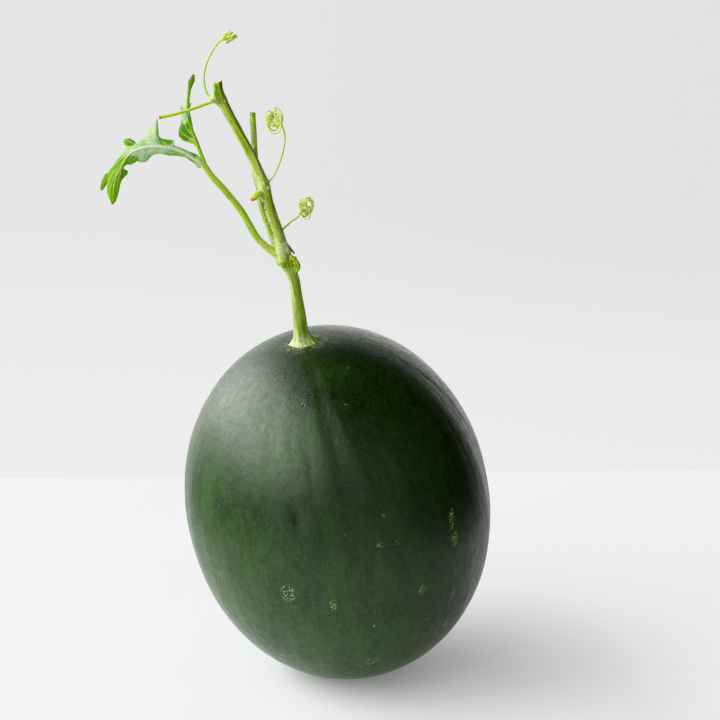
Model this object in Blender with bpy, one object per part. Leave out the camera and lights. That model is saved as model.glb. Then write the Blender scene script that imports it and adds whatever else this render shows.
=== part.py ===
"""A small dark green watermelon standing on its blossom end, with a piece of vine still on its stalk.

Metres, +Z up. The origin lies on the flat spot that the melon rests on, straight under the middle of
the fruit. The front is -Y. The fruit's long axis and the vine both lean to the left, which is -X.
"""

from math import cos, exp, pi, radians, sin

import bmesh
import bpy
from mathutils import Matrix, Vector

# Fruit: a slightly squared ellipsoid about an axis that leans left and forward
FRUIT_RADIUS = 0.0900
FRUIT_HALF_LENGTH = 0.1084
FRUIT_AXIS = Vector((-0.1748, -0.1597, 0.9716)).normalized()
FRUIT_MIDDLE = Vector((0.0, 0.0, 0.1045))
SQUARENESS = 2.06
RIBS = 10
RIB_DEPTH = 0.0005
RIB_TURN = radians(11)
STALK_DENT_DEPTH = 0.0018
STALK_DENT_RADIUS = 0.0120
DIMPLE_DEPTH = 0.0042
DIMPLE_RADIUS = 0.0080
FRUIT_SEGMENTS = 50
FRUIT_RINGS = 32
POLE_CROWDING = 0.6

# Every piece keeps this gap to the one that it grows from
GAP = 0.0003

# Routes are lists of (x, y, z, radius) along the middle of each stem
STALK = [
    (-0.0202, -0.0170, 0.2030, 0.0092),
    (-0.0205, -0.0173, 0.2058, 0.0091),
    (-0.0207, -0.0175, 0.2082, 0.0076),
    (-0.0209, -0.0180, 0.2107, 0.0058),
    (-0.0211, -0.0187, 0.2138, 0.0046),
    (-0.0213, -0.0197, 0.2180, 0.0040),
    (-0.0219, -0.0215, 0.2266, 0.0037),
    (-0.0230, -0.0235, 0.2370, 0.0034),
    (-0.0245, -0.0250, 0.2462, 0.0031),
    (-0.0267, -0.0257, 0.2527, 0.0031),
    (-0.0285, -0.0259, 0.2570, 0.0033),
    (-0.0297, -0.0260, 0.2600, 0.0033),
]
VINE = [
    (-0.0290, -0.0259, 0.2562, 0.0036),
    (-0.0297, -0.0260, 0.2590, 0.0043),
    (-0.0302, -0.0261, 0.2625, 0.0041),
    (-0.0308, -0.0263, 0.2665, 0.0034),
    (-0.0324, -0.0267, 0.2735, 0.0029),
    (-0.0345, -0.0271, 0.2804, 0.0028),
    (-0.0375, -0.0272, 0.2908, 0.0025),
    (-0.0390, -0.0271, 0.2970, 0.0027),
    (-0.0406, -0.0267, 0.3022, 0.0031),
    (-0.0428, -0.0261, 0.3070, 0.0027),
    (-0.0468, -0.0250, 0.3152, 0.0025),
    (-0.0544, -0.0220, 0.3290, 0.0025),
    (-0.0612, -0.0190, 0.3421, 0.0027),
    (-0.0641, -0.0174, 0.3480, 0.0030),
    (-0.0656, -0.0164, 0.3529, 0.0026),
    (-0.0663, -0.0152, 0.3584, 0.0025),
]
CUT_PETIOLE = [
    (-0.0305, -0.0252, 0.2575, 0.0026),
    (-0.0326, -0.0235, 0.2626, 0.0026),
    (-0.0354, -0.0220, 0.2689, 0.0020),
    (-0.0391, -0.0208, 0.2791, 0.0018),
    (-0.0424, -0.0203, 0.2895, 0.0017),
    (-0.0448, -0.0201, 0.2986, 0.0017),
    (-0.0457, -0.0198, 0.3076, 0.0017),
    (-0.0456, -0.0193, 0.3171, 0.0016),
    (-0.0461, -0.0188, 0.3283, 0.0016),
    (-0.0467, -0.0185, 0.3417, 0.0015),
]
LEAF_PETIOLE = [
    (-0.0317, -0.0262, 0.2598, 0.0032),
    (-0.0370, -0.0268, 0.2630, 0.0026),
    (-0.0414, -0.0274, 0.2674, 0.0021),
    (-0.0449, -0.0280, 0.2723, 0.0020),
    (-0.0488, -0.0288, 0.2793, 0.0019),
    (-0.0525, -0.0293, 0.2863, 0.0018),
    (-0.0574, -0.0297, 0.2932, 0.0018),
    (-0.0628, -0.0298, 0.3000, 0.0018),
    (-0.0689, -0.0292, 0.3068, 0.0017),
    (-0.0729, -0.0285, 0.3126, 0.0016),
]
BARE_PETIOLE = [
    (-0.0640, -0.0178, 0.3470, 0.0016),
    (-0.0670, -0.0186, 0.3474, 0.0014),
    (-0.0693, -0.0191, 0.3470, 0.0010),
    (-0.0721, -0.0197, 0.3460, 0.00085),
    (-0.0772, -0.0210, 0.3442, 0.00085),
    (-0.0828, -0.0220, 0.3425, 0.00085),
    (-0.0900, -0.0225, 0.3405, 0.00090),
    (-0.0986, -0.0225, 0.3386, 0.00095),
]
BRACT = [
    (-0.0400, -0.0270, 0.3000, 0.0012),
    (-0.0415, -0.0300, 0.2998, 0.0016),
    (-0.0439, -0.0318, 0.2985, 0.0017),
    (-0.0463, -0.0330, 0.2962, 0.0010),
    (-0.0472, -0.0332, 0.2946, 0.0005),
]
KNOT_SCALE = [
    (-0.0305, -0.0262, 0.2705, 0.0008),
    (-0.0283, -0.0258, 0.2682, 0.0010),
    (-0.0262, -0.0254, 0.2648, 0.0009),
    (-0.0245, -0.0250, 0.2624, 0.0007),
    (-0.0234, -0.0248, 0.2610, 0.0005),
]
WITHERED_FLOWER = [
    (-0.0290, -0.0268, 0.2612, 0.0014),
    (-0.0266, -0.0274, 0.2606, 0.0017),
    (-0.0248, -0.0280, 0.2594, 0.0015),
    (-0.0231, -0.0286, 0.2577, 0.0011),
    (-0.0224, -0.0289, 0.2557, 0.0014),
    (-0.0226, -0.0290, 0.2534, 0.0013),
    (-0.0233, -0.0290, 0.2517, 0.0006),
]


# The finish of each stem and small growth, the pieces that it is cut clear of, and its shape. Rings are
# counted along it and sides round it, ridges run along it, and widen is a direction and a factor.
SCALE_WIDENED = (Vector((0.35, -0.6, 0.7)).normalized(), 1.7)
STEMS = {
    "vine": {
        "finish": "stem_green",
        "clear_of": (),
        "shape": {"route": VINE, "rings": 36, "sides": 12},
    },
    "fruit_stalk": {
        "finish": "stalk_green",
        "clear_of": ("fruit", "vine"),
        "shape": {"route": STALK, "rings": 26, "sides": 20, "ridges": 5, "ridge_depth": 0.0003},
    },
    "cut_petiole": {
        "finish": "stem_green",
        "clear_of": ("vine", "fruit_stalk"),
        "shape": {"route": CUT_PETIOLE, "rings": 22, "sides": 10},
    },
    "leaf_petiole": {
        "finish": "stem_green",
        "clear_of": ("vine", "cut_petiole", "fruit_stalk"),
        "shape": {"route": LEAF_PETIOLE, "rings": 24, "sides": 10},
    },
    "bare_petiole": {
        "finish": "stem_green",
        "clear_of": ("vine",),
        "shape": {"route": BARE_PETIOLE, "rings": 20, "sides": 8},
    },
    "bract": {
        "finish": "tendril_green",
        "clear_of": ("vine",),
        "shape": {"route": BRACT, "rings": 12, "sides": 8, "widen": SCALE_WIDENED},
    },
    "knot_scale": {
        "finish": "dry_scale",
        "clear_of": ("vine",),
        "shape": {"route": KNOT_SCALE, "rings": 12, "sides": 6},
    },
    "withered_flower": {
        "finish": "withered_green",
        "clear_of": ("vine", "fruit_stalk"),
        "shape": {"route": WITHERED_FLOWER, "rings": 18, "sides": 8, "ridges": 4, "ridge_depth": 0.0002},
    },
}

# Tendrils: the core route, then the share of it where the wire starts to coil, its turns and their radius
TENDRIL_RADIUS = 0.00045
TENDRIL_FLARE = 0.0005
TENDRIL_SIDES = 6
TENDRIL_STRAIGHT_RINGS = 20
TENDRIL_RINGS_A_TURN = 11
TENDRILS = {
    "tendril_top": {
        "core": [
            (-0.0650, -0.0164, 0.3494),
            (-0.0676, -0.0160, 0.3493),
            (-0.0698, -0.0158, 0.3497),
            (-0.0716, -0.0157, 0.3508),
            (-0.0729, -0.0158, 0.3530),
            (-0.0736, -0.0154, 0.3569),
            (-0.0735, -0.0150, 0.3612),
            (-0.0725, -0.0145, 0.3662),
            (-0.0703, -0.0140, 0.3716),
            (-0.0672, -0.0135, 0.3766),
            (-0.0640, -0.0130, 0.3800),
            (-0.0612, -0.0125, 0.3818),
            (-0.0582, -0.0118, 0.3825),
            (-0.0560, -0.0113, 0.3826),
        ],
        "coil_from": 0.755,
        "turns": 5.5,
        "coil_radius": 0.0026,
    },
    "tendril_middle": {
        "core": [
            (-0.0408, -0.0266, 0.3005),
            (-0.0390, -0.0266, 0.3021),
            (-0.0372, -0.0262, 0.3042),
            (-0.0347, -0.0256, 0.3073),
            (-0.0324, -0.0250, 0.3120),
            (-0.0305, -0.0244, 0.3175),
            (-0.0291, -0.0240, 0.3231),
            (-0.0287, -0.0237, 0.3281),
            (-0.0295, -0.0236, 0.3325),
            (-0.0318, -0.0238, 0.3362),
            (-0.0345, -0.0243, 0.3392),
            (-0.0372, -0.0248, 0.3430),
        ],
        "coil_from": 0.66,
        "turns": 5.5,
        "coil_radius": 0.0032,
    },
    "tendril_low": {
        "core": [
            (-0.0330, -0.0265, 0.2735),
            (-0.0316, -0.0236, 0.2746),
            (-0.0298, -0.0207, 0.2758),
            (-0.0253, -0.0185, 0.2793),
            (-0.0213, -0.0172, 0.2823),
            (-0.0186, -0.0165, 0.2845),
            (-0.0172, -0.0161, 0.2874),
            (-0.0167, -0.0158, 0.2905),
        ],
        "coil_from": 0.56,
        "turns": 4.5,
        "coil_radius": 0.0030,
    },
}

# Leaf: for each lobe its rib as (x, y, z, radius), and the margin on both sides of it as (place along the
# rib, x, z). The blade folds away behind the rib, by the fold times the distance from it.
BLADE_THICKNESS = 0.0007
BLADE_CAMBER = 0.06
BLADE_STEPS_LEFT = 3
BLADE_STEPS_RIGHT = 2
RIB_RINGS_A_POINT = 2
RIB_SIDES = 6
LOBES = {
    "leaf_blade": {
        "rib": [
            (-0.0729, -0.0285, 0.3130, 0.0013),
            (-0.0786, -0.0295, 0.3166, 0.0010),
            (-0.0833, -0.0305, 0.3201, 0.0010),
            (-0.0888, -0.0315, 0.3226, 0.0009),
            (-0.0940, -0.0325, 0.3240, 0.0009),
            (-0.0992, -0.0333, 0.3245, 0.0009),
            (-0.1031, -0.0337, 0.3245, 0.0008),
            (-0.1076, -0.0340, 0.3236, 0.0008),
            (-0.1121, -0.0340, 0.3218, 0.0008),
            (-0.1158, -0.0336, 0.3184, 0.0008),
            (-0.1188, -0.0330, 0.3136, 0.0007),
            (-0.1215, -0.0322, 0.3083, 0.0007),
            (-0.1233, -0.0314, 0.3026, 0.0006),
            (-0.1242, -0.0306, 0.2962, 0.0006),
            (-0.1246, -0.0301, 0.2915, 0.0005),
        ],
        "left_fold": 0.45,
        "left": [
            (0.5, -0.0748, 0.3168),
            (1.0, -0.0772, 0.3190),
            (1.8, -0.0818, 0.3212),
            (2.6, -0.0870, 0.3238),
            (3.3, -0.0915, 0.3262),
            (3.7, -0.0922, 0.3277),
            (4.2, -0.0964, 0.3282),
            (4.6, -0.0981, 0.3298),
            (4.9, -0.0986, 0.3349),
            (5.1, -0.0987, 0.3393),
            (5.5, -0.1012, 0.3354),
            (6.2, -0.1061, 0.3296),
            (7.0, -0.1102, 0.3254),
            (7.3, -0.1114, 0.3275),
            (7.6, -0.1139, 0.3288),
            (8.1, -0.1172, 0.3282),
            (8.6, -0.1174, 0.3242),
            (9.3, -0.1182, 0.3198),
            (9.9, -0.1214, 0.3169),
            (10.5, -0.1236, 0.3131),
            (10.9, -0.1258, 0.3107),
            (11.4, -0.1271, 0.3060),
            (12.0, -0.1276, 0.3020),
            (12.7, -0.1276, 0.2980),
            (13.4, -0.1264, 0.2944),
            (14.0, -0.1251, 0.2914),
        ],
        "right_fold": 0.35,
        "right": [
            (0.5, -0.0758, 0.3130),
            (1.0, -0.0777, 0.3141),
            (1.8, -0.0833, 0.3177),
            (2.6, -0.0889, 0.3187),
            (3.3, -0.0929, 0.3188),
            (4.0, -0.0964, 0.3200),
            (4.6, -0.0989, 0.3201),
            (5.1, -0.1016, 0.3193),
            (5.5, -0.1034, 0.3175),
            (5.9, -0.1049, 0.3156),
            (6.4, -0.1080, 0.3150),
            (6.9, -0.1104, 0.3162),
            (7.3, -0.1113, 0.3152),
            (7.9, -0.1140, 0.3138),
            (8.5, -0.1161, 0.3141),
            (9.1, -0.1176, 0.3130),
            (9.9, -0.1178, 0.3119),
            (10.5, -0.1156, 0.3104),
            (10.9, -0.1160, 0.3083),
            (11.2, -0.1184, 0.3062),
            (11.6, -0.1195, 0.3044),
            (12.2, -0.1203, 0.3014),
            (12.9, -0.1213, 0.2976),
            (13.5, -0.1226, 0.2938),
            (14.0, -0.1241, 0.2914),
        ],
    },
    "side_lobe": {
        "rib": [
            (-0.1226, -0.0312, 0.3098, 0.0006),
            (-0.1269, -0.0276, 0.3070, 0.0006),
            (-0.1297, -0.0258, 0.3028, 0.0005),
            (-0.1315, -0.0250, 0.2986, 0.0004),
        ],
        "left_fold": 0.25,
        "left": [
            (0.2, -0.1240, 0.3104),
            (0.8, -0.1285, 0.3082),
            (1.7, -0.1310, 0.3036),
            (3.0, -0.1321, 0.2988),
        ],
        "right_fold": 0.25,
        "right": [
            (0.2, -0.1228, 0.3078),
            (1.0, -0.1257, 0.3055),
            (1.9, -0.1281, 0.3018),
            (3.0, -0.1307, 0.2982),
        ],
    },
    "upright_lobe": {
        "rib": [
            (-0.0729, -0.0285, 0.3130, 0.0013),
            (-0.0743, -0.0274, 0.3170, 0.0010),
            (-0.0766, -0.0258, 0.3221, 0.0009),
            (-0.0787, -0.0240, 0.3271, 0.0008),
            (-0.0805, -0.0220, 0.3310, 0.0008),
            (-0.0820, -0.0195, 0.3363, 0.0007),
            (-0.0828, -0.0176, 0.3406, 0.0007),
            (-0.0828, -0.0163, 0.3447, 0.0006),
            (-0.0827, -0.0154, 0.3481, 0.0006),
            (-0.0821, -0.0144, 0.3522, 0.0006),
            (-0.0816, -0.0139, 0.3550, 0.0006),
            (-0.0794, -0.0131, 0.3612, 0.0005),
        ],
        "left_fold": 0.30,
        "left": [
            (0.6, -0.0744, 0.3157),
            (1.2, -0.0757, 0.3184),
            (1.8, -0.0774, 0.3222),
            (2.3, -0.0794, 0.3246),
            (2.5, -0.0814, 0.3249),
            (3.0, -0.0856, 0.3259),
            (3.3, -0.0877, 0.3282),
            (3.8, -0.0880, 0.3310),
            (4.4, -0.0865, 0.3346),
            (5.2, -0.0864, 0.3403),
            (5.6, -0.0864, 0.3428),
            (6.0, -0.0856, 0.3438),
            (6.4, -0.0846, 0.3436),
            (7.0, -0.0842, 0.3449),
            (8.2, -0.0834, 0.3492),
            (9.0, -0.0829, 0.3526),
            (9.7, -0.0823, 0.3554),
            (10.3, -0.0814, 0.3592),
            (10.6, -0.0804, 0.3604),
            (11.0, -0.0796, 0.3616),
        ],
        "right_fold": 0.40,
        "right": [
            (0.6, -0.0727, 0.3156),
            (2.0, -0.0755, 0.3226),
            (4.0, -0.0794, 0.3315),
            (6.0, -0.0817, 0.3408),
            (6.7, -0.0818, 0.3436),
            (6.9, -0.0808, 0.3452),
            (7.2, -0.0818, 0.3456),
            (8.0, -0.0817, 0.3481),
            (9.0, -0.0811, 0.3523),
            (9.7, -0.0803, 0.3545),
            (10.3, -0.0789, 0.3576),
            (11.0, -0.0789, 0.3610),
        ],
    },
}

# Edges sharper than this are shaded sharp
SHARP_ANGLE = radians(50)

# Colours as linear red, green and blue, and roughness
FINISHES = {
    "rind": ((0.010, 0.033, 0.009), 0.34),
    "stalk_green": ((0.24, 0.36, 0.07), 0.55),
    "stem_green": ((0.22, 0.36, 0.06), 0.60),
    "leaf_green": ((0.13, 0.30, 0.04), 0.55),
    "tendril_green": ((0.38, 0.52, 0.10), 0.50),
    "dry_scale": ((0.22, 0.13, 0.05), 0.75),
    "withered_green": ((0.20, 0.26, 0.05), 0.70),
}


def clear_scene():
    for thing in list(bpy.data.objects):
        bpy.data.objects.remove(thing, do_unlink=True)


def material(name):
    """The named finish as a Principled material, made once."""
    if name in bpy.data.materials:
        return bpy.data.materials[name]
    colour, roughness = FINISHES[name]
    made = bpy.data.materials.new(name)
    made.use_nodes = True
    shader = made.node_tree.nodes["Principled BSDF"]
    shader.inputs["Base Color"].default_value = (*colour, 1)
    shader.inputs["Roughness"].default_value = roughness
    shader.inputs["Metallic"].default_value = 0
    return made


def add_object(name, mesh_bmesh, finish=None):
    """Turns a bmesh into a smooth-shaded object. Without a finish it is a helper that stays unseen."""
    mesh = bpy.data.meshes.new(name)
    bmesh.ops.recalc_face_normals(mesh_bmesh, faces=mesh_bmesh.faces)
    mesh_bmesh.to_mesh(mesh)
    mesh_bmesh.free()
    mesh.shade_smooth()
    made = bpy.data.objects.new(name, mesh)
    bpy.context.collection.objects.link(made)
    if finish:
        mesh.materials.append(material(finish))
        mesh.set_sharp_from_angle(angle=SHARP_ANGLE)
    else:
        made.hide_render = True
        made.display_type = "WIRE"
    return made


def combine(target, other, operation):
    """Adds a Boolean modifier that unites the target with another object, or cuts it away."""
    modifier = target.modifiers.new(f"{operation.lower()}_{other.name}", "BOOLEAN")
    modifier.operation = operation
    modifier.object = other
    modifier.solver = "EXACT"


def catmull_rom(values, at):
    """The smooth curve through the values, read at a place counted in control points."""
    last = len(values) - 1
    i = min(int(at), last - 1)
    f = at - i
    a, b, c, d = (values[min(max(i + k, 0), last)] for k in (-1, 0, 1, 2))
    return [
        0.5 * (2 * q + (r - p) * f + (2 * p - 5 * q + 4 * r - s) * f**2 + (3 * q - p - 3 * r + s) * f**3)
        for p, q, r, s in zip(a, b, c, d)
    ]


def smooth_route(points, rings):
    """Evenly counted points along the curve, each with whatever follows its x, y and z."""
    last = len(points) - 1
    return [catmull_rom(points, last * i / (rings - 1)) for i in range(rings)]


def frames(centres):
    """A cross direction pair at each centre, carried along the route without twisting."""
    last = len(centres) - 1
    tangents = [(centres[min(i + 1, last)] - centres[max(i - 1, 0)]).normalized() for i in range(last + 1)]
    across = tangents[0].orthogonal().normalized()
    pairs = []
    for tangent in tangents:
        across = (across - tangent * across.dot(tangent)).normalized()
        pairs.append((across.copy(), tangent.cross(across)))
    return pairs


def tube_bmesh(centres, radii, sides, ridges=0, ridge_depth=0.0, widen=None):
    """A closed tube with flat ends. The ridges run along it, and widen stretches its cross-section."""
    mesh = bmesh.new()
    rings = []
    for centre, radius, (across, up) in zip(centres, radii, frames(centres)):
        ring = []
        for k in range(sides):
            angle = 2 * pi * k / sides
            reach = radius + ridge_depth * cos(ridges * angle)
            offset = across * cos(angle) * reach + up * sin(angle) * reach
            if widen:
                direction, factor = widen
                offset += direction * offset.dot(direction) * (factor - 1)
            ring.append(mesh.verts.new(centre + offset))
        rings.append(ring)
    for low, high in zip(rings, rings[1:]):
        for k in range(sides):
            following = (k + 1) % sides
            mesh.faces.new((low[k], low[following], high[following], high[k]))
    mesh.faces.new(rings[0])
    mesh.faces.new(rings[-1])
    return mesh


def stem_bmesh(route, rings, sides, ridges=0, ridge_depth=0.0, widen=None, grow=0.0):
    """A tube along a route of (x, y, z, radius), or the same grown all round and past both ends."""
    points = smooth_route(route, rings)
    centres = [Vector(point[:3]) for point in points]
    radii = [point[3] + grow for point in points]
    for end, inner in ((0, 1), (-1, -2)):
        centres[end] += (centres[end] - centres[inner]).normalized() * grow
    return tube_bmesh(centres, radii, sides, ridges, ridge_depth, widen)


def fruit_point(polar, turn, grow=0.0):
    """A point on the rind: polar angle from the stalk end, and turn about the fruit's own axis."""
    power = 2 / SQUARENESS
    out = FRUIT_RADIUS * abs(sin(polar)) ** power
    along = FRUIT_HALF_LENGTH * abs(cos(polar)) ** power * (1 if cos(polar) > 0 else -1)
    groove = RIB_DEPTH * (1 - cos(RIBS * (turn + RIB_TURN))) / 2
    out += (grow - groove * sin(polar)) * sin(polar)
    along += grow * cos(polar)
    # Both ends draw in: the stalk end about the root of the stalk, the blossom end about its pole
    point = Vector((out * cos(turn), out * sin(turn), along))
    from_stalk = (point.xy - STALK_ROOT.xy).length
    if along > 0:
        point.z -= STALK_DENT_DEPTH * exp(-((from_stalk / STALK_DENT_RADIUS) ** 2))
    else:
        point.z += DIMPLE_DEPTH * exp(-((out / DIMPLE_RADIUS) ** 2))
    return FRUIT_MIDDLE + FRUIT_TURN @ point


def fruit_bmesh(grow=0.0):
    """Rings about the fruit's axis, crowded towards both poles."""
    mesh = bmesh.new()
    rings = []
    for i in range(1, FRUIT_RINGS):
        share = i / FRUIT_RINGS
        polar = pi * share - POLE_CROWDING / 2 * sin(2 * pi * share)
        turns = [2 * pi * k / FRUIT_SEGMENTS for k in range(FRUIT_SEGMENTS)]
        rings.append([mesh.verts.new(fruit_point(polar, turn, grow)) for turn in turns])
    for low, high in zip(rings, rings[1:]):
        for k in range(FRUIT_SEGMENTS):
            following = (k + 1) % FRUIT_SEGMENTS
            mesh.faces.new((low[k], low[following], high[following], high[k]))
    for ring, polar in ((rings[0], 0.0), (rings[-1], pi)):
        pole = mesh.verts.new(fruit_point(polar, 0.0, grow))
        for k in range(FRUIT_SEGMENTS):
            mesh.faces.new((pole, ring[k], ring[(k + 1) % FRUIT_SEGMENTS]))
    return mesh


def make_fruit():
    """The rind, cut level where it rests."""
    fruit = add_object("fruit", fruit_bmesh(), "rind")
    ground = bmesh.new()
    depth = 4 * FRUIT_RADIUS
    bmesh.ops.create_cube(ground, size=depth, matrix=Matrix.Translation((0, 0, -depth / 2)))
    combine(fruit, add_object("ground_cutter", ground), "DIFFERENCE")


def clearance(name):
    """The named piece grown by the gap on every side, made once. It cuts what grows from that piece."""
    helper = f"{name}_clearance"
    if helper not in bpy.data.objects:
        grown = fruit_bmesh(GAP) if name == "fruit" else stem_bmesh(**STEMS[name]["shape"], grow=GAP)
        add_object(helper, grown)
    return bpy.data.objects[helper]


def make_stem(name, finish, clear_of, shape):
    """One stem or small growth, cut clear of the pieces that it grows from."""
    made = add_object(name, stem_bmesh(**shape), finish)
    for parent in clear_of:
        combine(made, clearance(parent), "DIFFERENCE")


def make_tendril(name, core, coil_from, turns, coil_radius):
    """A wire that leaves the vine straight and ends in a coil wound about the same route."""
    last = len(core) - 1
    ends = [last * coil_from * i / TENDRIL_STRAIGHT_RINGS for i in range(TENDRIL_STRAIGHT_RINGS)]
    coil_rings = round(turns * TENDRIL_RINGS_A_TURN)
    ends += [last * (coil_from + (1 - coil_from) * i / coil_rings) for i in range(coil_rings + 1)]
    centres = [Vector(catmull_rom(core, end)) for end in ends]
    wire, radii = [], []
    for i, (centre, (across, up)) in enumerate(zip(centres, frames(centres))):
        coiled = max(i - TENDRIL_STRAIGHT_RINGS, 0)
        opening = min(coiled / TENDRIL_RINGS_A_TURN, 1)
        reach = coil_radius * opening * opening * (3 - 2 * opening)
        angle = 2 * pi * coiled / TENDRIL_RINGS_A_TURN
        wire.append(centre + reach * (across * cos(angle) + up * sin(angle)))
        radii.append(TENDRIL_RADIUS + TENDRIL_FLARE * exp(-i / 2))
    made = add_object(name, tube_bmesh(wire, radii, TENDRIL_SIDES), "tendril_green")
    combine(made, clearance("vine"), "DIFFERENCE")


def margin_at(margin, at):
    """The margin's x and z beside a place along the rib, straight between its own points."""
    for (start, x0, z0), (end, x1, z1) in zip(margin, margin[1:]):
        if at <= end:
            share = (at - start) / (end - start)
            return x0 + (x1 - x0) * share, z0 + (z1 - z0) * share
    return margin[-1][1:]


def lobe_bmesh(rib, left, left_fold, right, right_fold):
    """A thin sheet from one margin over the rib to the other, split into triangles."""
    stations = sorted({point[0] for point in left} | {point[0] for point in right})
    mesh = bmesh.new()
    rows = []
    for at in stations:
        centre = Vector(catmull_rom(rib, at)[:3])
        row = [(0, centre)]
        sides = ((left, left_fold, -1, BLADE_STEPS_LEFT), (right, right_fold, 1, BLADE_STEPS_RIGHT))
        for margin, fold, sign, steps in sides:
            x, z = margin_at(margin, at)
            reach = Vector((x - centre.x, 0, z - centre.z))
            reach.y = fold * reach.length
            for step in range(1, steps + 1):
                share = step / steps
                camber = Vector((0, -BLADE_CAMBER * sin(pi * share) * reach.length, 0))
                row.append((sign * share, centre + reach * share + camber))
        rows.append([mesh.verts.new(point) for _, point in sorted(row, key=lambda entry: entry[0])])
    for low, high in zip(rows, rows[1:]):
        for k in range(len(low) - 1):
            mesh.faces.new((low[k], low[k + 1], high[k + 1], high[k]))
    bmesh.ops.triangulate(mesh, faces=mesh.faces)
    return mesh


def make_leaf():
    """The arched lobe, then the side lobe, the upright lobe and all their ribs united with it."""
    blade = None
    for name, lobe in LOBES.items():
        margins = {key: value for key, value in lobe.items() if key != "rib"}
        made = add_object(name, lobe_bmesh(lobe["rib"], **margins), None if blade else "leaf_green")
        thickness = made.modifiers.new("thickness", "SOLIDIFY")
        thickness.thickness = BLADE_THICKNESS
        thickness.offset = 0
        if blade:
            combine(blade, made, "UNION")
        else:
            blade = made
        rib = stem_bmesh(lobe["rib"], RIB_RINGS_A_POINT * len(lobe["rib"]), RIB_SIDES)
        combine(blade, add_object(f"{name}_rib", rib), "UNION")
    combine(blade, clearance("leaf_petiole"), "DIFFERENCE")


# The fruit's own axes turned into the part's, and the root of the stalk seen along them
FRUIT_TURN = FRUIT_AXIS.to_track_quat("Z", "Y").to_matrix()
STALK_ROOT = FRUIT_TURN.transposed() @ (Vector(STALK[0][:3]) - FRUIT_MIDDLE)

clear_scene()
make_fruit()
for stem_name, growth in STEMS.items():
    make_stem(stem_name, **growth)
for tendril_name, windings in TENDRILS.items():
    make_tendril(tendril_name, **windings)
make_leaf()
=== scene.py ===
"""The looks of a small dark green watermelon that still has a piece of its vine, a leaf and three tendrils.

Metres, +Z up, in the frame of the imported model. The fruit, stems, leaf and tendrils are finer meshes on the
routes of the solids that they replace. The camera looks along +Y, a little down, as the photograph does.
"""

import random
from math import cos, pi, radians, sin

import bpy
import numpy as np
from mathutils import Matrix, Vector, noise
from mathutils.bvhtree import BVHTree


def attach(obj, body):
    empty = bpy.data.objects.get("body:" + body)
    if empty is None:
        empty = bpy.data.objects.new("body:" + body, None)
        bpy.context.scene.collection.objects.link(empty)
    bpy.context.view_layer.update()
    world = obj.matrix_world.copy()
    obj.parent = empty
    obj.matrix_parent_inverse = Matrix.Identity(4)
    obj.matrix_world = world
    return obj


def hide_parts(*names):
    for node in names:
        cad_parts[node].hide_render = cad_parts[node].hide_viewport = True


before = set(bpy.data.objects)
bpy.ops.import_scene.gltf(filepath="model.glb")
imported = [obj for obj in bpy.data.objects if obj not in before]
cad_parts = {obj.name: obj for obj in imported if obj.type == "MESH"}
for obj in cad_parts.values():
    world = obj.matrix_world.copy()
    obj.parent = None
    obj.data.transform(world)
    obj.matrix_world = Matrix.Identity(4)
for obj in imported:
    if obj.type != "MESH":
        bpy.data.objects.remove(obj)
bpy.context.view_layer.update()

# The photograph's frame and camera
PHOTO_SIDE = 720
LENS = 0.110
SENSOR = 0.036
ELEVATION = radians(16)
DISTANCE = 1.2804
AIM = Vector((0.0130, 0.0, 0.1926))
BACKWARDS = Vector((0, -cos(ELEVATION), sin(ELEVATION)))
UPWARDS = Vector((0, sin(ELEVATION), cos(ELEVATION)))
EYE = AIM + DISTANCE * BACKWARDS
PIXELS_A_SLOPE = LENS / SENSOR * PHOTO_SIDE
METRES_A_PIXEL = DISTANCE / PIXELS_A_SLOPE

# Fruit: a slightly squared ellipsoid about an axis that leans left and forward
FRUIT_RADIUS = 0.0900
FRUIT_HALF_LENGTH = 0.1084
FRUIT_AXIS = Vector((-0.1748, -0.1597, 0.9716)).normalized()
FRUIT_MIDDLE = Vector((0.0, 0.0, 0.1045))
SQUARENESS = 2.06
STALK_DENT_DEPTH = 0.0013
STALK_DENT_RADIUS = 0.0120
DIMPLE_DEPTH = 0.0042
DIMPLE_RADIUS = 0.0080
FRUIT_SEGMENTS = 440
FRUIT_RINGS = 210
POLE_CROWDING = 0.6

# Grooves between the fruit's ribs: a pixel that each runs through, its depth, which is negative for a rib,
# half width in degrees about the axis, and how far down it stays deep, in degrees from the stalk
GROOVES = [
    ((329, 420), 0.0010, 4.0, 62), ((339, 415), -0.0005, 3.0, 60), ((350, 365), 0.0003, 2.4, 45),
    ((394, 360), 0.00022, 2.2, 55), ((414, 370), 0.00028, 2.0, 70), ((433, 384), 0.00030, 1.8, 80),
    ((447, 399), 0.00025, 2.0, 85), ((464, 430), 0.00020, 2.0, 90), ((232, 420), 0.0005, 5.0, 70),
    ((283, 380), 0.0005, 3.4, 55), ((262, 365), 0.0003, 2.4, 40), ((306, 400), 0.0003, 2.6, 60),
]
HIDDEN_GROOVES = 9
# Shallow dents in the rind: pixel, depth and radius
DENTS = [((292, 522), 0.00060, 0.0070), ((304, 507), 0.00020, 0.0045)]
# Fine ribs all round: how many, and their height
FINE_RIBS = [(13, 0.00009), (22, 0.00007), (35, 0.00005), (56, 0.00003), (89, 0.00002)]

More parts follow.
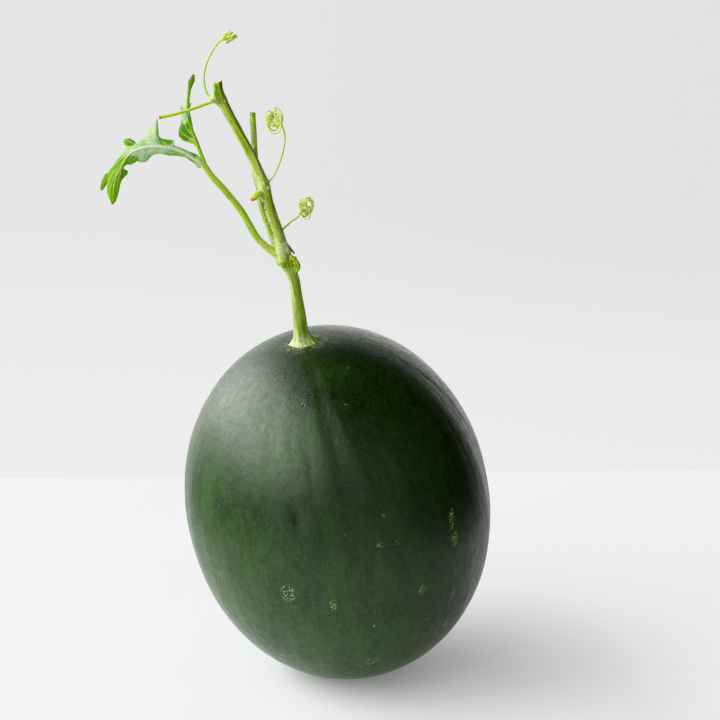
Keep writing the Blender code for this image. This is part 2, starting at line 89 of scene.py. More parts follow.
# Stem routes as (x, y, z, radius)
STALK = [
    (-0.0188, -0.0168, 0.2034, 0.0110), (-0.0189, -0.0172, 0.2056, 0.0104),
    (-0.0190, -0.0176, 0.2076, 0.0089), (-0.0194, -0.0180, 0.2095, 0.0067),
    (-0.0199, -0.0185, 0.2120, 0.0050), (-0.0204, -0.0190, 0.2146, 0.0043),
    (-0.0206, -0.0197, 0.2180, 0.0039), (-0.0214, -0.0215, 0.2266, 0.0035),
    (-0.0227, -0.0235, 0.2370, 0.0031), (-0.0238, -0.0250, 0.2462, 0.0029),
    (-0.0260, -0.0257, 0.2527, 0.0033), (-0.0280, -0.0259, 0.2570, 0.0039),
    (-0.0292, -0.0260, 0.2600, 0.0034),
]
VINE = [
    (-0.0290, -0.0259, 0.2562, 0.0036), (-0.0297, -0.0260, 0.2590, 0.0043),
    (-0.0302, -0.0261, 0.2625, 0.0041), (-0.0308, -0.0263, 0.2665, 0.0034),
    (-0.0324, -0.0267, 0.2735, 0.0029), (-0.0345, -0.0271, 0.2804, 0.0028),
    (-0.0375, -0.0272, 0.2908, 0.0025), (-0.0390, -0.0271, 0.2970, 0.0027),
    (-0.0406, -0.0267, 0.3022, 0.0031), (-0.0425, -0.0261, 0.3070, 0.0027),
    (-0.0461, -0.0250, 0.3152, 0.0025), (-0.0536, -0.0220, 0.3290, 0.0025),
    (-0.0609, -0.0190, 0.3421, 0.0026), (-0.0641, -0.0174, 0.3480, 0.0030),
    (-0.0656, -0.0164, 0.3529, 0.0026), (-0.0663, -0.0152, 0.3584, 0.0025),
]
CUT_PETIOLE = [
    (-0.0305, -0.0252, 0.2575, 0.0026), (-0.0326, -0.0235, 0.2626, 0.0026),
    (-0.0354, -0.0220, 0.2689, 0.0020), (-0.0391, -0.0208, 0.2791, 0.0018),
    (-0.0424, -0.0203, 0.2895, 0.0017), (-0.0434, -0.0201, 0.2980, 0.0017),
    (-0.0450, -0.0199, 0.3045, 0.0017), (-0.0457, -0.0197, 0.3090, 0.0017),
    (-0.0456, -0.0193, 0.3171, 0.0016), (-0.0461, -0.0188, 0.3283, 0.0016),
    (-0.0467, -0.0185, 0.3417, 0.0015),
]
LEAF_PETIOLE = [
    (-0.0312, -0.0262, 0.2606, 0.0030), (-0.0360, -0.0268, 0.2636, 0.0023),
    (-0.0406, -0.0274, 0.2674, 0.0019), (-0.0449, -0.0280, 0.2723, 0.0019),
    (-0.0488, -0.0288, 0.2793, 0.0019), (-0.0525, -0.0293, 0.2863, 0.0018),
    (-0.0574, -0.0297, 0.2932, 0.0018), (-0.0628, -0.0298, 0.3000, 0.0018),
    (-0.0689, -0.0292, 0.3068, 0.0017), (-0.0729, -0.0285, 0.3126, 0.0016),
]
BARE_PETIOLE = [
    (-0.0640, -0.0178, 0.3470, 0.0016), (-0.0670, -0.0186, 0.3474, 0.0014),
    (-0.0693, -0.0191, 0.3470, 0.0010), (-0.0721, -0.0197, 0.3460, 0.00085),
    (-0.0772, -0.0210, 0.3442, 0.00085), (-0.0828, -0.0220, 0.3425, 0.00085),
    (-0.0900, -0.0225, 0.3405, 0.00090), (-0.0965, -0.0225, 0.3391, 0.00095),
    (-0.0991, -0.0226, 0.3385, 0.00115),
]
BRACT = [
    (-0.0412, -0.0285, 0.2976, 0.0010), (-0.0430, -0.0300, 0.2975, 0.0017),
    (-0.0448, -0.0312, 0.2966, 0.0020), (-0.0460, -0.0320, 0.2955, 0.0018),
    (-0.0467, -0.0324, 0.2946, 0.0011),
]
KNOT_SCALE = [
    (-0.0296, -0.0262, 0.2690, 0.0006), (-0.0278, -0.0260, 0.2672, 0.0008),
    (-0.0262, -0.0256, 0.2650, 0.0008), (-0.0249, -0.0252, 0.2634, 0.0006),
    (-0.0240, -0.0250, 0.2623, 0.0005),
]
WITHERED_FLOWER = [
    (-0.0284, -0.0272, 0.2606, 0.0014), (-0.0264, -0.0278, 0.2604, 0.0017),
    (-0.0243, -0.0283, 0.2592, 0.0016), (-0.0227, -0.0287, 0.2574, 0.0016),
    (-0.0223, -0.0289, 0.2556, 0.0018), (-0.0227, -0.0290, 0.2537, 0.0017),
    (-0.0236, -0.0290, 0.2520, 0.0007),
]
# A beaded strand of pale hairs in the seam between the vine and the cut leaf stalk, with painted dark green
# shade between the hairs
SEAM_STRAND = [
    (-0.0436, -0.0266, 0.3008, 0.0003), (-0.0422, -0.0270, 0.2960, 0.0005),
    (-0.0404, -0.0272, 0.2900, 0.0004), (-0.0386, -0.0273, 0.2842, 0.0005),
    (-0.0368, -0.0274, 0.2790, 0.0005), (-0.0348, -0.0276, 0.2735, 0.0004),
]


def srgb(red, green, blue):
    """A colour given as display values from 0 to 255, in linear light."""
    shares = (value / 255 for value in (red, green, blue))
    return tuple(c / 12.92 if c < 0.04045 else ((c + 0.055) / 1.055) ** 2.4 for c in shares)


def unit(vectors):
    """Vectors scaled to a length of one."""
    vectors = np.asarray(vectors, dtype=float)
    return vectors / np.maximum(np.linalg.norm(vectors, axis=-1, keepdims=True), 1e-12)


# Places in the photograph

def photo_pixels(points):
    """Where points of the part are seen in the photograph, as arrays of columns and rows."""
    away = np.asarray(points) - np.array(EYE)
    depth = -away @ np.array(BACKWARDS)
    columns = PHOTO_SIDE / 2 + PIXELS_A_SLOPE * away[..., 0] / depth
    rows = PHOTO_SIDE / 2 - PIXELS_A_SLOPE * (away @ np.array(UPWARDS)) / depth
    return columns, rows


def sight_line(column, row):
    """The direction from the camera through a pixel."""
    rightwards = Vector((column - PHOTO_SIDE / 2, 0, 0)) / PIXELS_A_SLOPE
    upwards = UPWARDS * (PHOTO_SIDE / 2 - row) / PIXELS_A_SLOPE
    return (rightwards + upwards - BACKWARDS).normalized()


CAD_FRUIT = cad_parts["fruit"].data
CORNERS = [vertex.co for vertex in CAD_FRUIT.vertices]
FRUIT_TREE = BVHTree.FromPolygons(CORNERS, [polygon.vertices for polygon in CAD_FRUIT.polygons])


def on_fruit(column, row):
    """The point of the rind that shows at a pixel."""
    return FRUIT_TREE.ray_cast(EYE, sight_line(column, row))[0]


# Material nodes

def add(tree, kind, inputs=None, **settings):
    """A node with its settings, and its inputs as values or as sockets to link."""
    node = tree.nodes.new(kind)
    for key, value in settings.items():
        setattr(node, key, value)
    for key, value in (inputs or {}).items():
        if isinstance(value, bpy.types.NodeSocket):
            tree.links.new(value, node.inputs[key])
        else:
            node.inputs[key].default_value = value
    return node


def grain(tree, vector, scale, detail=3.0, roughness=0.55, stretch=None):
    """Noise from 0 to 1, optionally stretched along the axes."""
    if stretch:
        vector = add(tree, "ShaderNodeVectorMath", {0: vector, 1: stretch}, operation="MULTIPLY").outputs[0]
    inputs = {"Vector": vector, "Scale": scale, "Detail": detail, "Roughness": roughness}
    return add(tree, "ShaderNodeTexNoise", inputs).outputs[0]


def remap(tree, value, low, high, start=0.0, end=1.0):
    """The value eased from low..high to start..end."""
    inputs = {"Value": value, "From Min": low, "From Max": high, "To Min": start, "To Max": end}
    return add(tree, "ShaderNodeMapRange", inputs, interpolation_type="SMOOTHSTEP").outputs[0]


def calculate(tree, operation, *values):
    return add(tree, "ShaderNodeMath", dict(enumerate(values)), operation=operation).outputs[0]


def times(tree, first, second):
    return calculate(tree, "MULTIPLY", first, second)


def weighted(tree, *parts):
    """The sum of values, each times its weight."""
    total = 0.0
    for value, weight in parts:
        total = calculate(tree, "MULTIPLY_ADD", value, weight, total)
    return total


def mix(tree, factor, first, second):
    """Two colours mixed by a factor. A colour is a socket or linear red, green and blue."""
    first, second = ((*c, 1) if isinstance(c, tuple) and len(c) == 3 else c for c in (first, second))
    return add(tree, "ShaderNodeMix", {0: factor, 6: first, 7: second}, data_type="RGBA").outputs[2]


def position(tree):
    return add(tree, "ShaderNodeTexCoord").outputs["Object"]


def attribute(tree, name, output="Color"):
    return add(tree, "ShaderNodeAttribute", attribute_name=name).outputs[output]


def spot(tree, vector, centre, width, height):
    """One in the middle of an upright spot, easing to nothing at its rim."""
    away = add(tree, "ShaderNodeVectorMath", {0: vector, 1: centre}, operation="SUBTRACT").outputs[0]
    sizes = (1 / width, 1 / width, 1 / height)
    scaled = add(tree, "ShaderNodeVectorMath", {0: away, 1: sizes}, operation="MULTIPLY").outputs[0]
    length = add(tree, "ShaderNodeVectorMath", {0: scaled}, operation="LENGTH").outputs["Value"]
    return remap(tree, length, 0.0, 1.0, 1.0, 0.0)


def new_material(name, soft=(), **sockets):
    """A Principled material, with its subsurface weight, radius and scale if it is soft."""
    made = bpy.data.materials.new(name)
    made.use_nodes = True
    shader = made.node_tree.nodes["Principled BSDF"]
    for key, value in zip(("Subsurface_Weight", "Subsurface_Radius", "Subsurface_Scale"), soft):
        sockets[key] = value
    for key, value in sockets.items():
        shader.inputs[key.replace("_", " ")].default_value = value
    return made, made.node_tree, shader


def bump(tree, shader, height, strength, distance):
    inputs = {"Height": height, "Strength": strength, "Distance": distance}
    tree.links.new(add(tree, "ShaderNodeBump", inputs).outputs[0], shader.inputs["Normal"])


# Meshes

def make_piece(name, points, faces, material, nodes=(), colours=None, vectors=None):
    """A smooth mesh that rides on the part. Colours and vectors are kept on its points as tint and along."""
    mesh = bpy.data.meshes.new(name)
    mesh.from_pydata(np.asarray(points).tolist(), [], faces)
    mesh.validate()
    if colours is not None:
        tint = mesh.color_attributes.new("tint", "FLOAT_COLOR", "POINT")
        filled = np.ones((len(points), 4))
        filled[:, :3] = colours
        tint.data.foreach_set("color", filled.ravel())
    if vectors is not None:
        along = mesh.attributes.new("along", "FLOAT_VECTOR", "POINT")
        along.data.foreach_set("vector", np.asarray(vectors).ravel())
    mesh.shade_smooth()
    mesh.materials.append(material)
    made = bpy.data.objects.new(name, mesh)
    bpy.context.collection.objects.link(made)
    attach(made, "root")
    if nodes:
        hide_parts(*nodes)


def grid_faces(rings, sides):
    """Quads between rings of points that close on themselves."""
    faces = []
    for i in range(rings - 1):
        low, high = i * sides, (i + 1) * sides
        for k in range(sides):
            following = (k + 1) % sides
            faces.append((low + k, low + following, high + following, high + k))
    return faces


def cap_faces(centre, first, sides, far):
    """Triangles from a ring of points to its centre, at the far or the near end."""
    pairs = [(first + k, first + (k + 1) % sides) for k in range(sides)]
    return [(centre, *(pair if far else pair[::-1])) for pair in pairs]


def catmull_rom(values, at):
    """The smooth curve through the values, read at a place counted in control points."""
    last = len(values) - 1
    i = min(int(at), last - 1)
    f = at - i
    a, b, c, d = (values[min(max(i + k, 0), last)] for k in (-1, 0, 1, 2))
    return [
        0.5 * (2 * q + (r - p) * f + (2 * p - 5 * q + 4 * r - s) * f**2 + (3 * q - p - 3 * r + s) * f**3)
        for p, q, r, s in zip(a, b, c, d)
    ]


def along_route(route, step):
    """Points on the smooth curve through the route, about one step apart."""
    last = len(route) - 1
    rough = np.array([catmull_rom(route, last * i / ROUTE_STEPS) for i in range(ROUTE_STEPS + 1)])
    lengths = np.concatenate([[0], np.cumsum(np.linalg.norm(np.diff(rough[:, :3], axis=0), axis=1))])
    count = max(int(lengths[-1] / step), 4)
    arcs = np.linspace(0, lengths[-1], count + 1)
    return np.column_stack([np.interp(arcs, lengths, column) for column in rough.T]), arcs


def carried_frames(centres):
    """Tangent and cross directions at each centre, carried along without twisting."""
    tangents = unit(np.gradient(centres, axis=0))
    across = np.array(Vector(tangents[0]).orthogonal().normalized())
    acrosses = []
    for tangent in tangents:
        across = unit(across - tangent * (across @ tangent))
        acrosses.append(across)
    acrosses = np.array(acrosses)
    return tangents, acrosses, np.cross(tangents, acrosses)


def eased(keys, at):
    """Colours between keys, each given as its place and its display values for red, green and blue."""
    places = [key[0] for key in keys]
    channels = zip(*(srgb(*key[1:]) for key in keys))
    return np.column_stack([np.interp(at, places, channel) for channel in channels])


# Pale green of the stems' hairs, also used as the painted light on each stem's left side
PALE_HAIRY_AND_LIT = srgb(208, 220, 168)

# The far end of a stem: each ring's size, and how far it stands out, both as shares of the stem's radius
CUT_END = [(0.97, 0.07), (0.90, 0.12), (0.80, 0.10), (0.66, 0.0), (0.45, -0.08), (0.25, -0.12)]
ROUND_END = [(0.95, 0.25), (0.8, 0.55), (0.5, 0.82), (0.2, 0.97)]
# How far past the end of its stem the end's pattern is read
CUT_FACE_PLACE = 0.0001

# How many steps measure a route, and how far apart a tube's rings are
ROUTE_STEPS = 600
STEM_STEP = 0.0003
FINE_STEP = 0.0002
TENDRIL_STEP = 0.00022
BEAD_STEP = 0.00015


class Tube:
    """A fine tube along a route, with rings of points, a shaped cross-section and a shaped far end."""

    def __init__(self, route, step, sides, shape=None, end=ROUND_END):
        line, self.arcs = along_route(route, step)
        self.centres, self.radii = line[:, :3], line[:, 3]
        self.sides, self.count = sides, len(line)
        self.angles = 2 * pi * np.arange(sides) / sides
        self.tangents, across, up = carried_frames(self.centres)
        angles = self.angles[:, None]
        self.outwards = across[:, None] * np.cos(angles) + up[:, None] * np.sin(angles)
        reach = np.repeat(self.radii[:, None], sides, axis=1)
        if shape:
            reach += shape(self.arcs[:, None], self.angles[None, :], self.radii[:, None])
        self.rings = self.centres[:, None] + self.outwards * reach[..., None]
        self.end = end

    def facing(self, towards):
        """How far each point's side of the tube faces one way, from -1 to 1."""
        return self.outwards @ unit(towards)

    def swell(self, column, row, size, height):
        """Raises a small lump where the tube shows at a pixel, on the side that faces the camera."""
        columns, rows = photo_pixels(self.rings)
        away = np.hypot(columns - column, rows - row) / size
        facing = np.clip(-self.outwards[..., 1], 0, 1) ** 0.5
        self.rings += self.outwards * (height * np.exp(-away**2) * facing)[..., None]

    def bulge(self, place, towards, size, height):
        """Raises a rounded bulge near a place, on the side that faces one way."""
        away = np.linalg.norm(self.rings - np.array(place), axis=-1) / size
        facing = np.clip(self.facing(towards), 0, 1)
        self.rings += self.outwards * (height * np.exp(-away**2) * facing)[..., None]

    def slant_end(self, towards, depth, length):
        """Slants the far end, so that the side that faces one way is cut back by the depth."""
        share = soft_step(self.arcs, self.arcs[-1] - length, self.arcs[-1])
        back = depth * (0.5 + 0.5 * self.facing(towards)[-1]) * share[:, None]
        self.rings -= self.tangents[:, None] * back[..., None]

    def side_share(self, count, towards):
        """How far each point of the mesh faces one way, from -1 to 1, and nothing past the tube's end."""
        share = np.zeros(count)
        share[:self.count * self.sides] = self.facing(towards).ravel()
        return share

    def mesh(self):
        """Points, faces and the straightened place of each point."""
        rings = list(self.rings)
        middle, radius = self.rings[-1].mean(axis=0), self.radii[-1]
        for size, out in self.end:
            rings.append(middle + (self.rings[-1] - middle) * size + self.tangents[-1] * out * radius)
        points = np.concatenate([*rings, self.centres[:1], [rings[-1].mean(axis=0)]])
        last_ring = (len(rings) - 1) * self.sides
        faces = grid_faces(len(rings), self.sides)
        faces += cap_faces(len(points) - 2, 0, self.sides, False)
        faces += cap_faces(len(points) - 1, last_ring, self.sides, True)
        past_end = self.arcs[-1] + CUT_FACE_PLACE
        arcs = np.repeat([*self.arcs, *[past_end] * len(self.end)], self.sides)
        arcs = np.concatenate([arcs, [0.0, past_end]])
        angles = np.concatenate([np.tile(self.angles, len(rings)), [0.0, 0.0]])
        wide = np.mean(self.radii)
        return points, faces, np.column_stack([np.cos(angles) * wide, np.sin(angles) * wide, arcs])

    def end_share(self, count):
        """One for each point of the cut face inside its rim, else nothing."""
        shares = np.zeros(count)
        first = (self.count + 1) * self.sides
        shares[first:-2] = 1
        shares[-1] = 1
        return shares


def blend(colours, colour, share):
    """Colours mixed towards one colour by a share for each point."""
    share = np.clip(share, 0, 1)[..., None]
    return colours * (1 - share) + np.array(colour) * share


def soft_step(values, low, high):
    share = np.clip((values - low) / (high - low), 0, 1)
    return share * share * (3 - 2 * share)


def touched(colours, points, marks, inner=0.5, outer=1.1):
    """Colours with soft marks, each given as its pixel, half sizes in pixels, colour and strength."""
    columns, rows = photo_pixels(points)
    for (column, row), (width, height), colour, strength in marks:
        away = np.hypot((columns - column) / width, (rows - row) / height)
        colours = blend(colours, colour, strength * (1 - soft_step(away, inner, outer)))
    return colours


def stem_colours(tube, keys, vectors, points, pith=None, shade=None, marks=()):
    """Colours along a stem from its keys, given as a share of its length, with painted shade on its right
    side and painted light on its left.
    """
    colours = eased(keys, vectors[:, 2] / tube.arcs[-1])
    if shade:
        colour, strength = shade
        # Painted shade darkens the right side, over the stem's own darker green stripe; painted light pales
        # the left side, where pale hairs also show
        right = soft_step(tube.side_share(len(points), (1, -0.15, 0.3)), 0.25, 0.95)
        left = soft_step(tube.side_share(len(points), (-1, -0.3, 0)), 0.55, 1.0)
        colours = blend(colours, colour, strength * right)
        colours = blend(colours, PALE_HAIRY_AND_LIT, 0.3 * left)
    if pith:
        colours = blend(colours, pith, tube.end_share(len(points)))
    return touched(colours, points, marks)


# Camera, light and floor

WALL_GLOW = 0.85
ROOM_DARK = 0.08
ROOM_LEFT = 1.0
MIRRORED_WALL = 1.5
CEILING_FILL = 0.45
FLOOR_GLOW = 0.19
FLOOR_CORNERS = [(-0.30, -0.42), (0.36, -0.42), (0.36, 0.370), (-0.30, 0.345)]

# Upright windows: place, turn about Z in degrees from facing along +Y, size and power
WINDOWS = {
    "window": ((-2.06, 1.10, 1.82), -75, (4.8, 2.62), 187.0),
    "front_window": ((-1.06, -1.70, 1.80), -32, (1.25, 2.7), 25.0),
}


def make_camera():
    camera = bpy.data.objects.new("camera", bpy.data.cameras.new("camera"))
    bpy.context.collection.objects.link(camera)
    camera.data.lens = LENS * 1000
    camera.data.sensor_width = SENSOR * 1000
    camera.data.clip_end = 20
    camera.location = EYE
    camera.rotation_euler = BACKWARDS.to_track_quat("Z", "Y").to_euler()
    bpy.context.scene.camera = camera


def make_window(name, place, turn, size, power):
    """An upright soft light, like a window, that faces the fruit."""
    light = bpy.data.objects.new(name, bpy.data.lights.new(name, "AREA"))
    bpy.context.collection.objects.link(light)
    light.data.shape = "RECTANGLE"
    light.data.size, light.data.size_y = size
    light.data.energy = power
    light.location = place
    light.rotation_euler = (radians(90), 0, radians(turn))
    light.visible_camera = False


def make_world():
    """The pale wall behind the fruit, in a room that is brighter at the left and dark at the right."""
    world = bpy.data.worlds.new("room")
    world.use_nodes = True
    tree = world.node_tree
    tree.nodes.clear()
    direction = add(tree, "ShaderNodeTexCoord").outputs["Generated"]
    x, y, z = add(tree, "ShaderNodeSeparateXYZ", {0: direction}).outputs
    behind = remap(tree, y, 0.68, 0.87)
    leftwards = remap(tree, x, 0.5, -0.75)
    in_front = remap(tree, y, 0.0, -0.85)
    low = remap(tree, z, 0.45, 0.88, 1.0, 0.0)
    above_floor = remap(tree, z, -0.30, 0.05, 0.3, 1.0)
    glow = calculate(tree, "MAXIMUM", leftwards, times(tree, in_front, 0.8))
    glow = times(tree, times(tree, glow, low), above_floor)
    room = mix(tree, glow, (ROOM_DARK,) * 3, (ROOM_LEFT,) * 3)
    room = mix(tree, times(tree, behind, low), room, (MIRRORED_WALL,) * 3)
    path = add(tree, "ShaderNodeLightPath")
    fill = times(tree, remap(tree, z, 0.1, 0.7), path.outputs["Is Diffuse Ray"])
    room = mix(tree, fill, room, (CEILING_FILL,) * 3)
    # The wall seen by the camera has painted light and shade: brighter low down and a little darker at the
    # right
    wall_low = remap(tree, z, -0.34, -0.20, 1.16, 1.0)
    wall_side = remap(tree, x, -0.16, 0.16, 1.0, 0.955)
    tone = times(tree, times(tree, wall_low, wall_side), WALL_GLOW)
    wall = add(tree, "ShaderNodeCombineColor", {0: tone, 1: tone, 2: tone}).outputs[0]
    colour = mix(tree, path.outputs["Is Camera Ray"], room, wall)
    background = add(tree, "ShaderNodeBackground", {"Color": colour, "Strength": 1.0})
    output = add(tree, "ShaderNodeOutputWorld")
    tree.links.new(background.outputs[0], output.inputs["Surface"])
    bpy.context.scene.world = world


def make_floor():
    mesh = bpy.data.meshes.new("floor")
    corners = [(x, y, 0) for x, y in FLOOR_CORNERS]
    mesh.from_pydata(corners, [], [(0, 1, 2, 3)])
    material, tree, shader = new_material(
        "floor", Roughness=0.75, Specular_IOR_Level=0.2,
        Emission_Color=(1, 1, 1, 1), Emission_Strength=FLOOR_GLOW)
    tone = grain(tree, position(tree), 2.5)
    colour = mix(tree, remap(tree, tone, 0.3, 0.7), srgb(212, 212, 214), srgb(216, 216, 218))
    tree.links.new(colour, shader.inputs["Base Color"])
    mesh.materials.append(material)
    floor = bpy.data.objects.new("floor", mesh)
    bpy.context.collection.objects.link(floor)


# Fruit

FRUIT_TURN = FRUIT_AXIS.to_track_quat("Z", "Y").to_matrix()
TURN_ARRAY = np.array(FRUIT_TURN)
STALK_ROOT = FRUIT_TURN.transposed() @ (Vector(STALK[0][:3]) - FRUIT_MIDDLE)


def groove_turns():
    """Each groove's turn about the axis in radians, depth, half width and lower end."""
    grooves = []
    for (column, row), depth, half_width, lower_end in GROOVES:
        own = FRUIT_TURN.transposed() @ (on_fruit(column, row) - FRUIT_MIDDLE)
        grooves.append((np.arctan2(own.y, own.x), depth, radians(half_width), radians(lower_end)))
    return grooves


def hidden_groove_turns(seen):
    """Uneven grooves on the far side, in the widest stretch between those that show."""
    turns = sorted(turn % (2 * pi) for turn, _, _, _ in seen)
    gaps = [(after - before, before) for before, after in zip(turns, turns[1:] + [turns[0] + 2 * pi])]
    width, start = max(gaps)
    rng = random.Random(4)
    hidden = []
    for i in range(HIDDEN_GROOVES):
        turn = start + width * (i + 1) / (HIDDEN_GROOVES + 1) + rng.uniform(-0.06, 0.06)
        hidden.append((turn, rng.uniform(0.0003, 0.0006), radians(rng.uniform(2, 5)), radians(75)))
    return hidden


def fruit_relief(polar, turn, grooves):
    """How far the rind stands out from the plain shape, from its grooves and unevenness."""
    relief = np.zeros(polar.shape)
    for groove_turn, depth, half_width, lower_end in grooves:
        wander = 0.035 * np.sin(3.1 * polar + 5 * groove_turn)
        away = (turn - groove_turn - wander + pi) % (2 * pi) - pi
        share = 1 / (1 + np.exp((polar - lower_end) / 0.22))
        relief -= depth * (0.25 + 0.75 * share) * np.exp(-((away / half_width) ** 2))
    for i, (count, height) in enumerate(FINE_RIBS):
        wobble = 1.3 * np.sin((2 + i) * polar + 1.7 * i) + 0.8 * np.sin(3 * turn + i)
        relief += height * (1.25 - 0.3 * polar) * np.sin(count * turn + wobble)
    relief += 0.00015 * np.sin(2 * turn + 1.0) * np.sin(polar) + 0.00012 * np.sin(3 * turn + 2.4 * polar)
    return (relief - 0.00045) * np.sin(polar)


def fruit_points(polar, turn, grooves):
    """Points of the rind, and the same points in the fruit's own upright frame."""
    power = 2 / SQUARENESS
    out = FRUIT_RADIUS * np.abs(np.sin(polar)) ** power
    along = FRUIT_HALF_LENGTH * np.abs(np.cos(polar)) ** power * np.sign(np.cos(polar))
    out = out + fruit_relief(polar, turn, grooves) * np.sin(polar)
    own = np.stack([out * np.cos(turn), out * np.sin(turn), along], axis=-1)
    from_stalk = np.hypot(own[..., 0] - STALK_ROOT.x, own[..., 1] - STALK_ROOT.y)
    dent = STALK_DENT_DEPTH * np.exp(-((from_stalk / STALK_DENT_RADIUS) ** 2))
    dimple = DIMPLE_DEPTH * np.exp(-((out / DIMPLE_RADIUS) ** 2))
    own[..., 2] += np.where(along > 0, -dent, dimple)
    points = np.array(FRUIT_MIDDLE) + own @ TURN_ARRAY.T
    for (column, row), depth, radius in DENTS:
        place = on_fruit(column, row)
        away = np.linalg.norm(points - np.array(place), axis=-1) / radius
        inwards = np.array((FRUIT_MIDDLE - place).normalized())
        points = points + inwards * (depth * np.exp(-(away**2)))[..., None]
    points[..., 2] = np.maximum(points[..., 2], 0)
    return points, own


# Marks on the rind: pixel, half width and half height in pixels, and strength. Dots and pits have one size.
SPECKLE_CLUSTERS = [
    ((288, 593), 11.0, 15, 1.0), ((333, 605), 5.5, 9, 1.0), ((451, 519), 6.0, 18, 0.9),
    ((454, 538), 7.0, 13, 0.9), ((221, 576), 7.0, 13, 0.8), ((371, 661), 12.0, 10, 0.9),
    ((379, 545), 9.0, 8, 0.35), ((396, 543), 5.0, 5, 0.4), ((383, 516), 4.0, 3, 0.45),
    ((345, 535), 4.0, 4, 0.25), ((422, 590), 9.0, 12, 0.4), ((453, 592), 8.0, 11, 0.45),
    ((446, 623), 10.0, 9, 0.6), ((428, 618), 6.0, 5, 0.5), ((282, 655), 10.0, 7, 0.5),
    ((474, 545), 5.0, 9, 0.5),
]
# The pale dots just beside the three pits are painted highlights on them, and the pits' dark colour is
# painted shade in them
PALE_DOTS_AND_PIT_HIGHLIGHTS = [
    ((302, 404), 1.6), ((345.5, 404.5), 1.6), ((374, 626), 2.2), ((348, 368), 1.3), ((219, 505), 1.2),
    ((377, 545), 1.2),
]
SHADED_PITS = [((303.7, 405.2), 1.4), ((347, 405.5), 1.5), ((349, 369), 1.1)]
LIGHT_PATCHES = [
    ((208, 492), 18, 50, 0.9), ((330, 372), 34, 34, 0.25), ((286, 445), 64, 74, 0.5),
]
# Darker, duller patches: their dark colour is painted shade beside the grooves and in the dents, and their
# rougher rind is less waxy
DULL_AND_SHADED_PATCHES = [
    ((292, 522), 18, 27, 1.0), ((288, 506), 12, 16, 0.6), ((303, 506), 8, 8, 0.5),
    ((331, 428), 12, 50, 0.8), ((295, 388), 12, 38, 0.6), ((314, 375), 9, 32, 0.5),
]

# Rind colours in linear light, darkest and lightest of the mottle: painted shade on the upper right and
# painted light on the lower left
RIND_SHADED = (0.0020, 0.0060, 0.0010), (0.0080, 0.0230, 0.0022)
RIND_LIT = (0.0070, 0.0290, 0.0022), (0.0270, 0.0960, 0.0066)
RIND_BROWN = (0.020, 0.022, 0.008)
SPECKLE = srgb(190, 200, 118)
SPECKLE_GROUND = srgb(22, 44, 14)
WORN_RING_RADIUS = 0.0210
BLOSSOM_SCAR_RADIUS = 0.0075
# How far the rind's bumps stand out
SKIN_RELIEF = 0.00030


def spots(tree, place, marks):
    """The strongest of the soft spots at each point of the rind."""
    total = 0.0
    for pixel, width, height, strength in marks:
        mask = spot(tree, place, on_fruit(*pixel), width * METRES_A_PIXEL, height * METRES_A_PIXEL)
        total = calculate(tree, "MAXIMUM", total, times(tree, mask, strength))
    return total


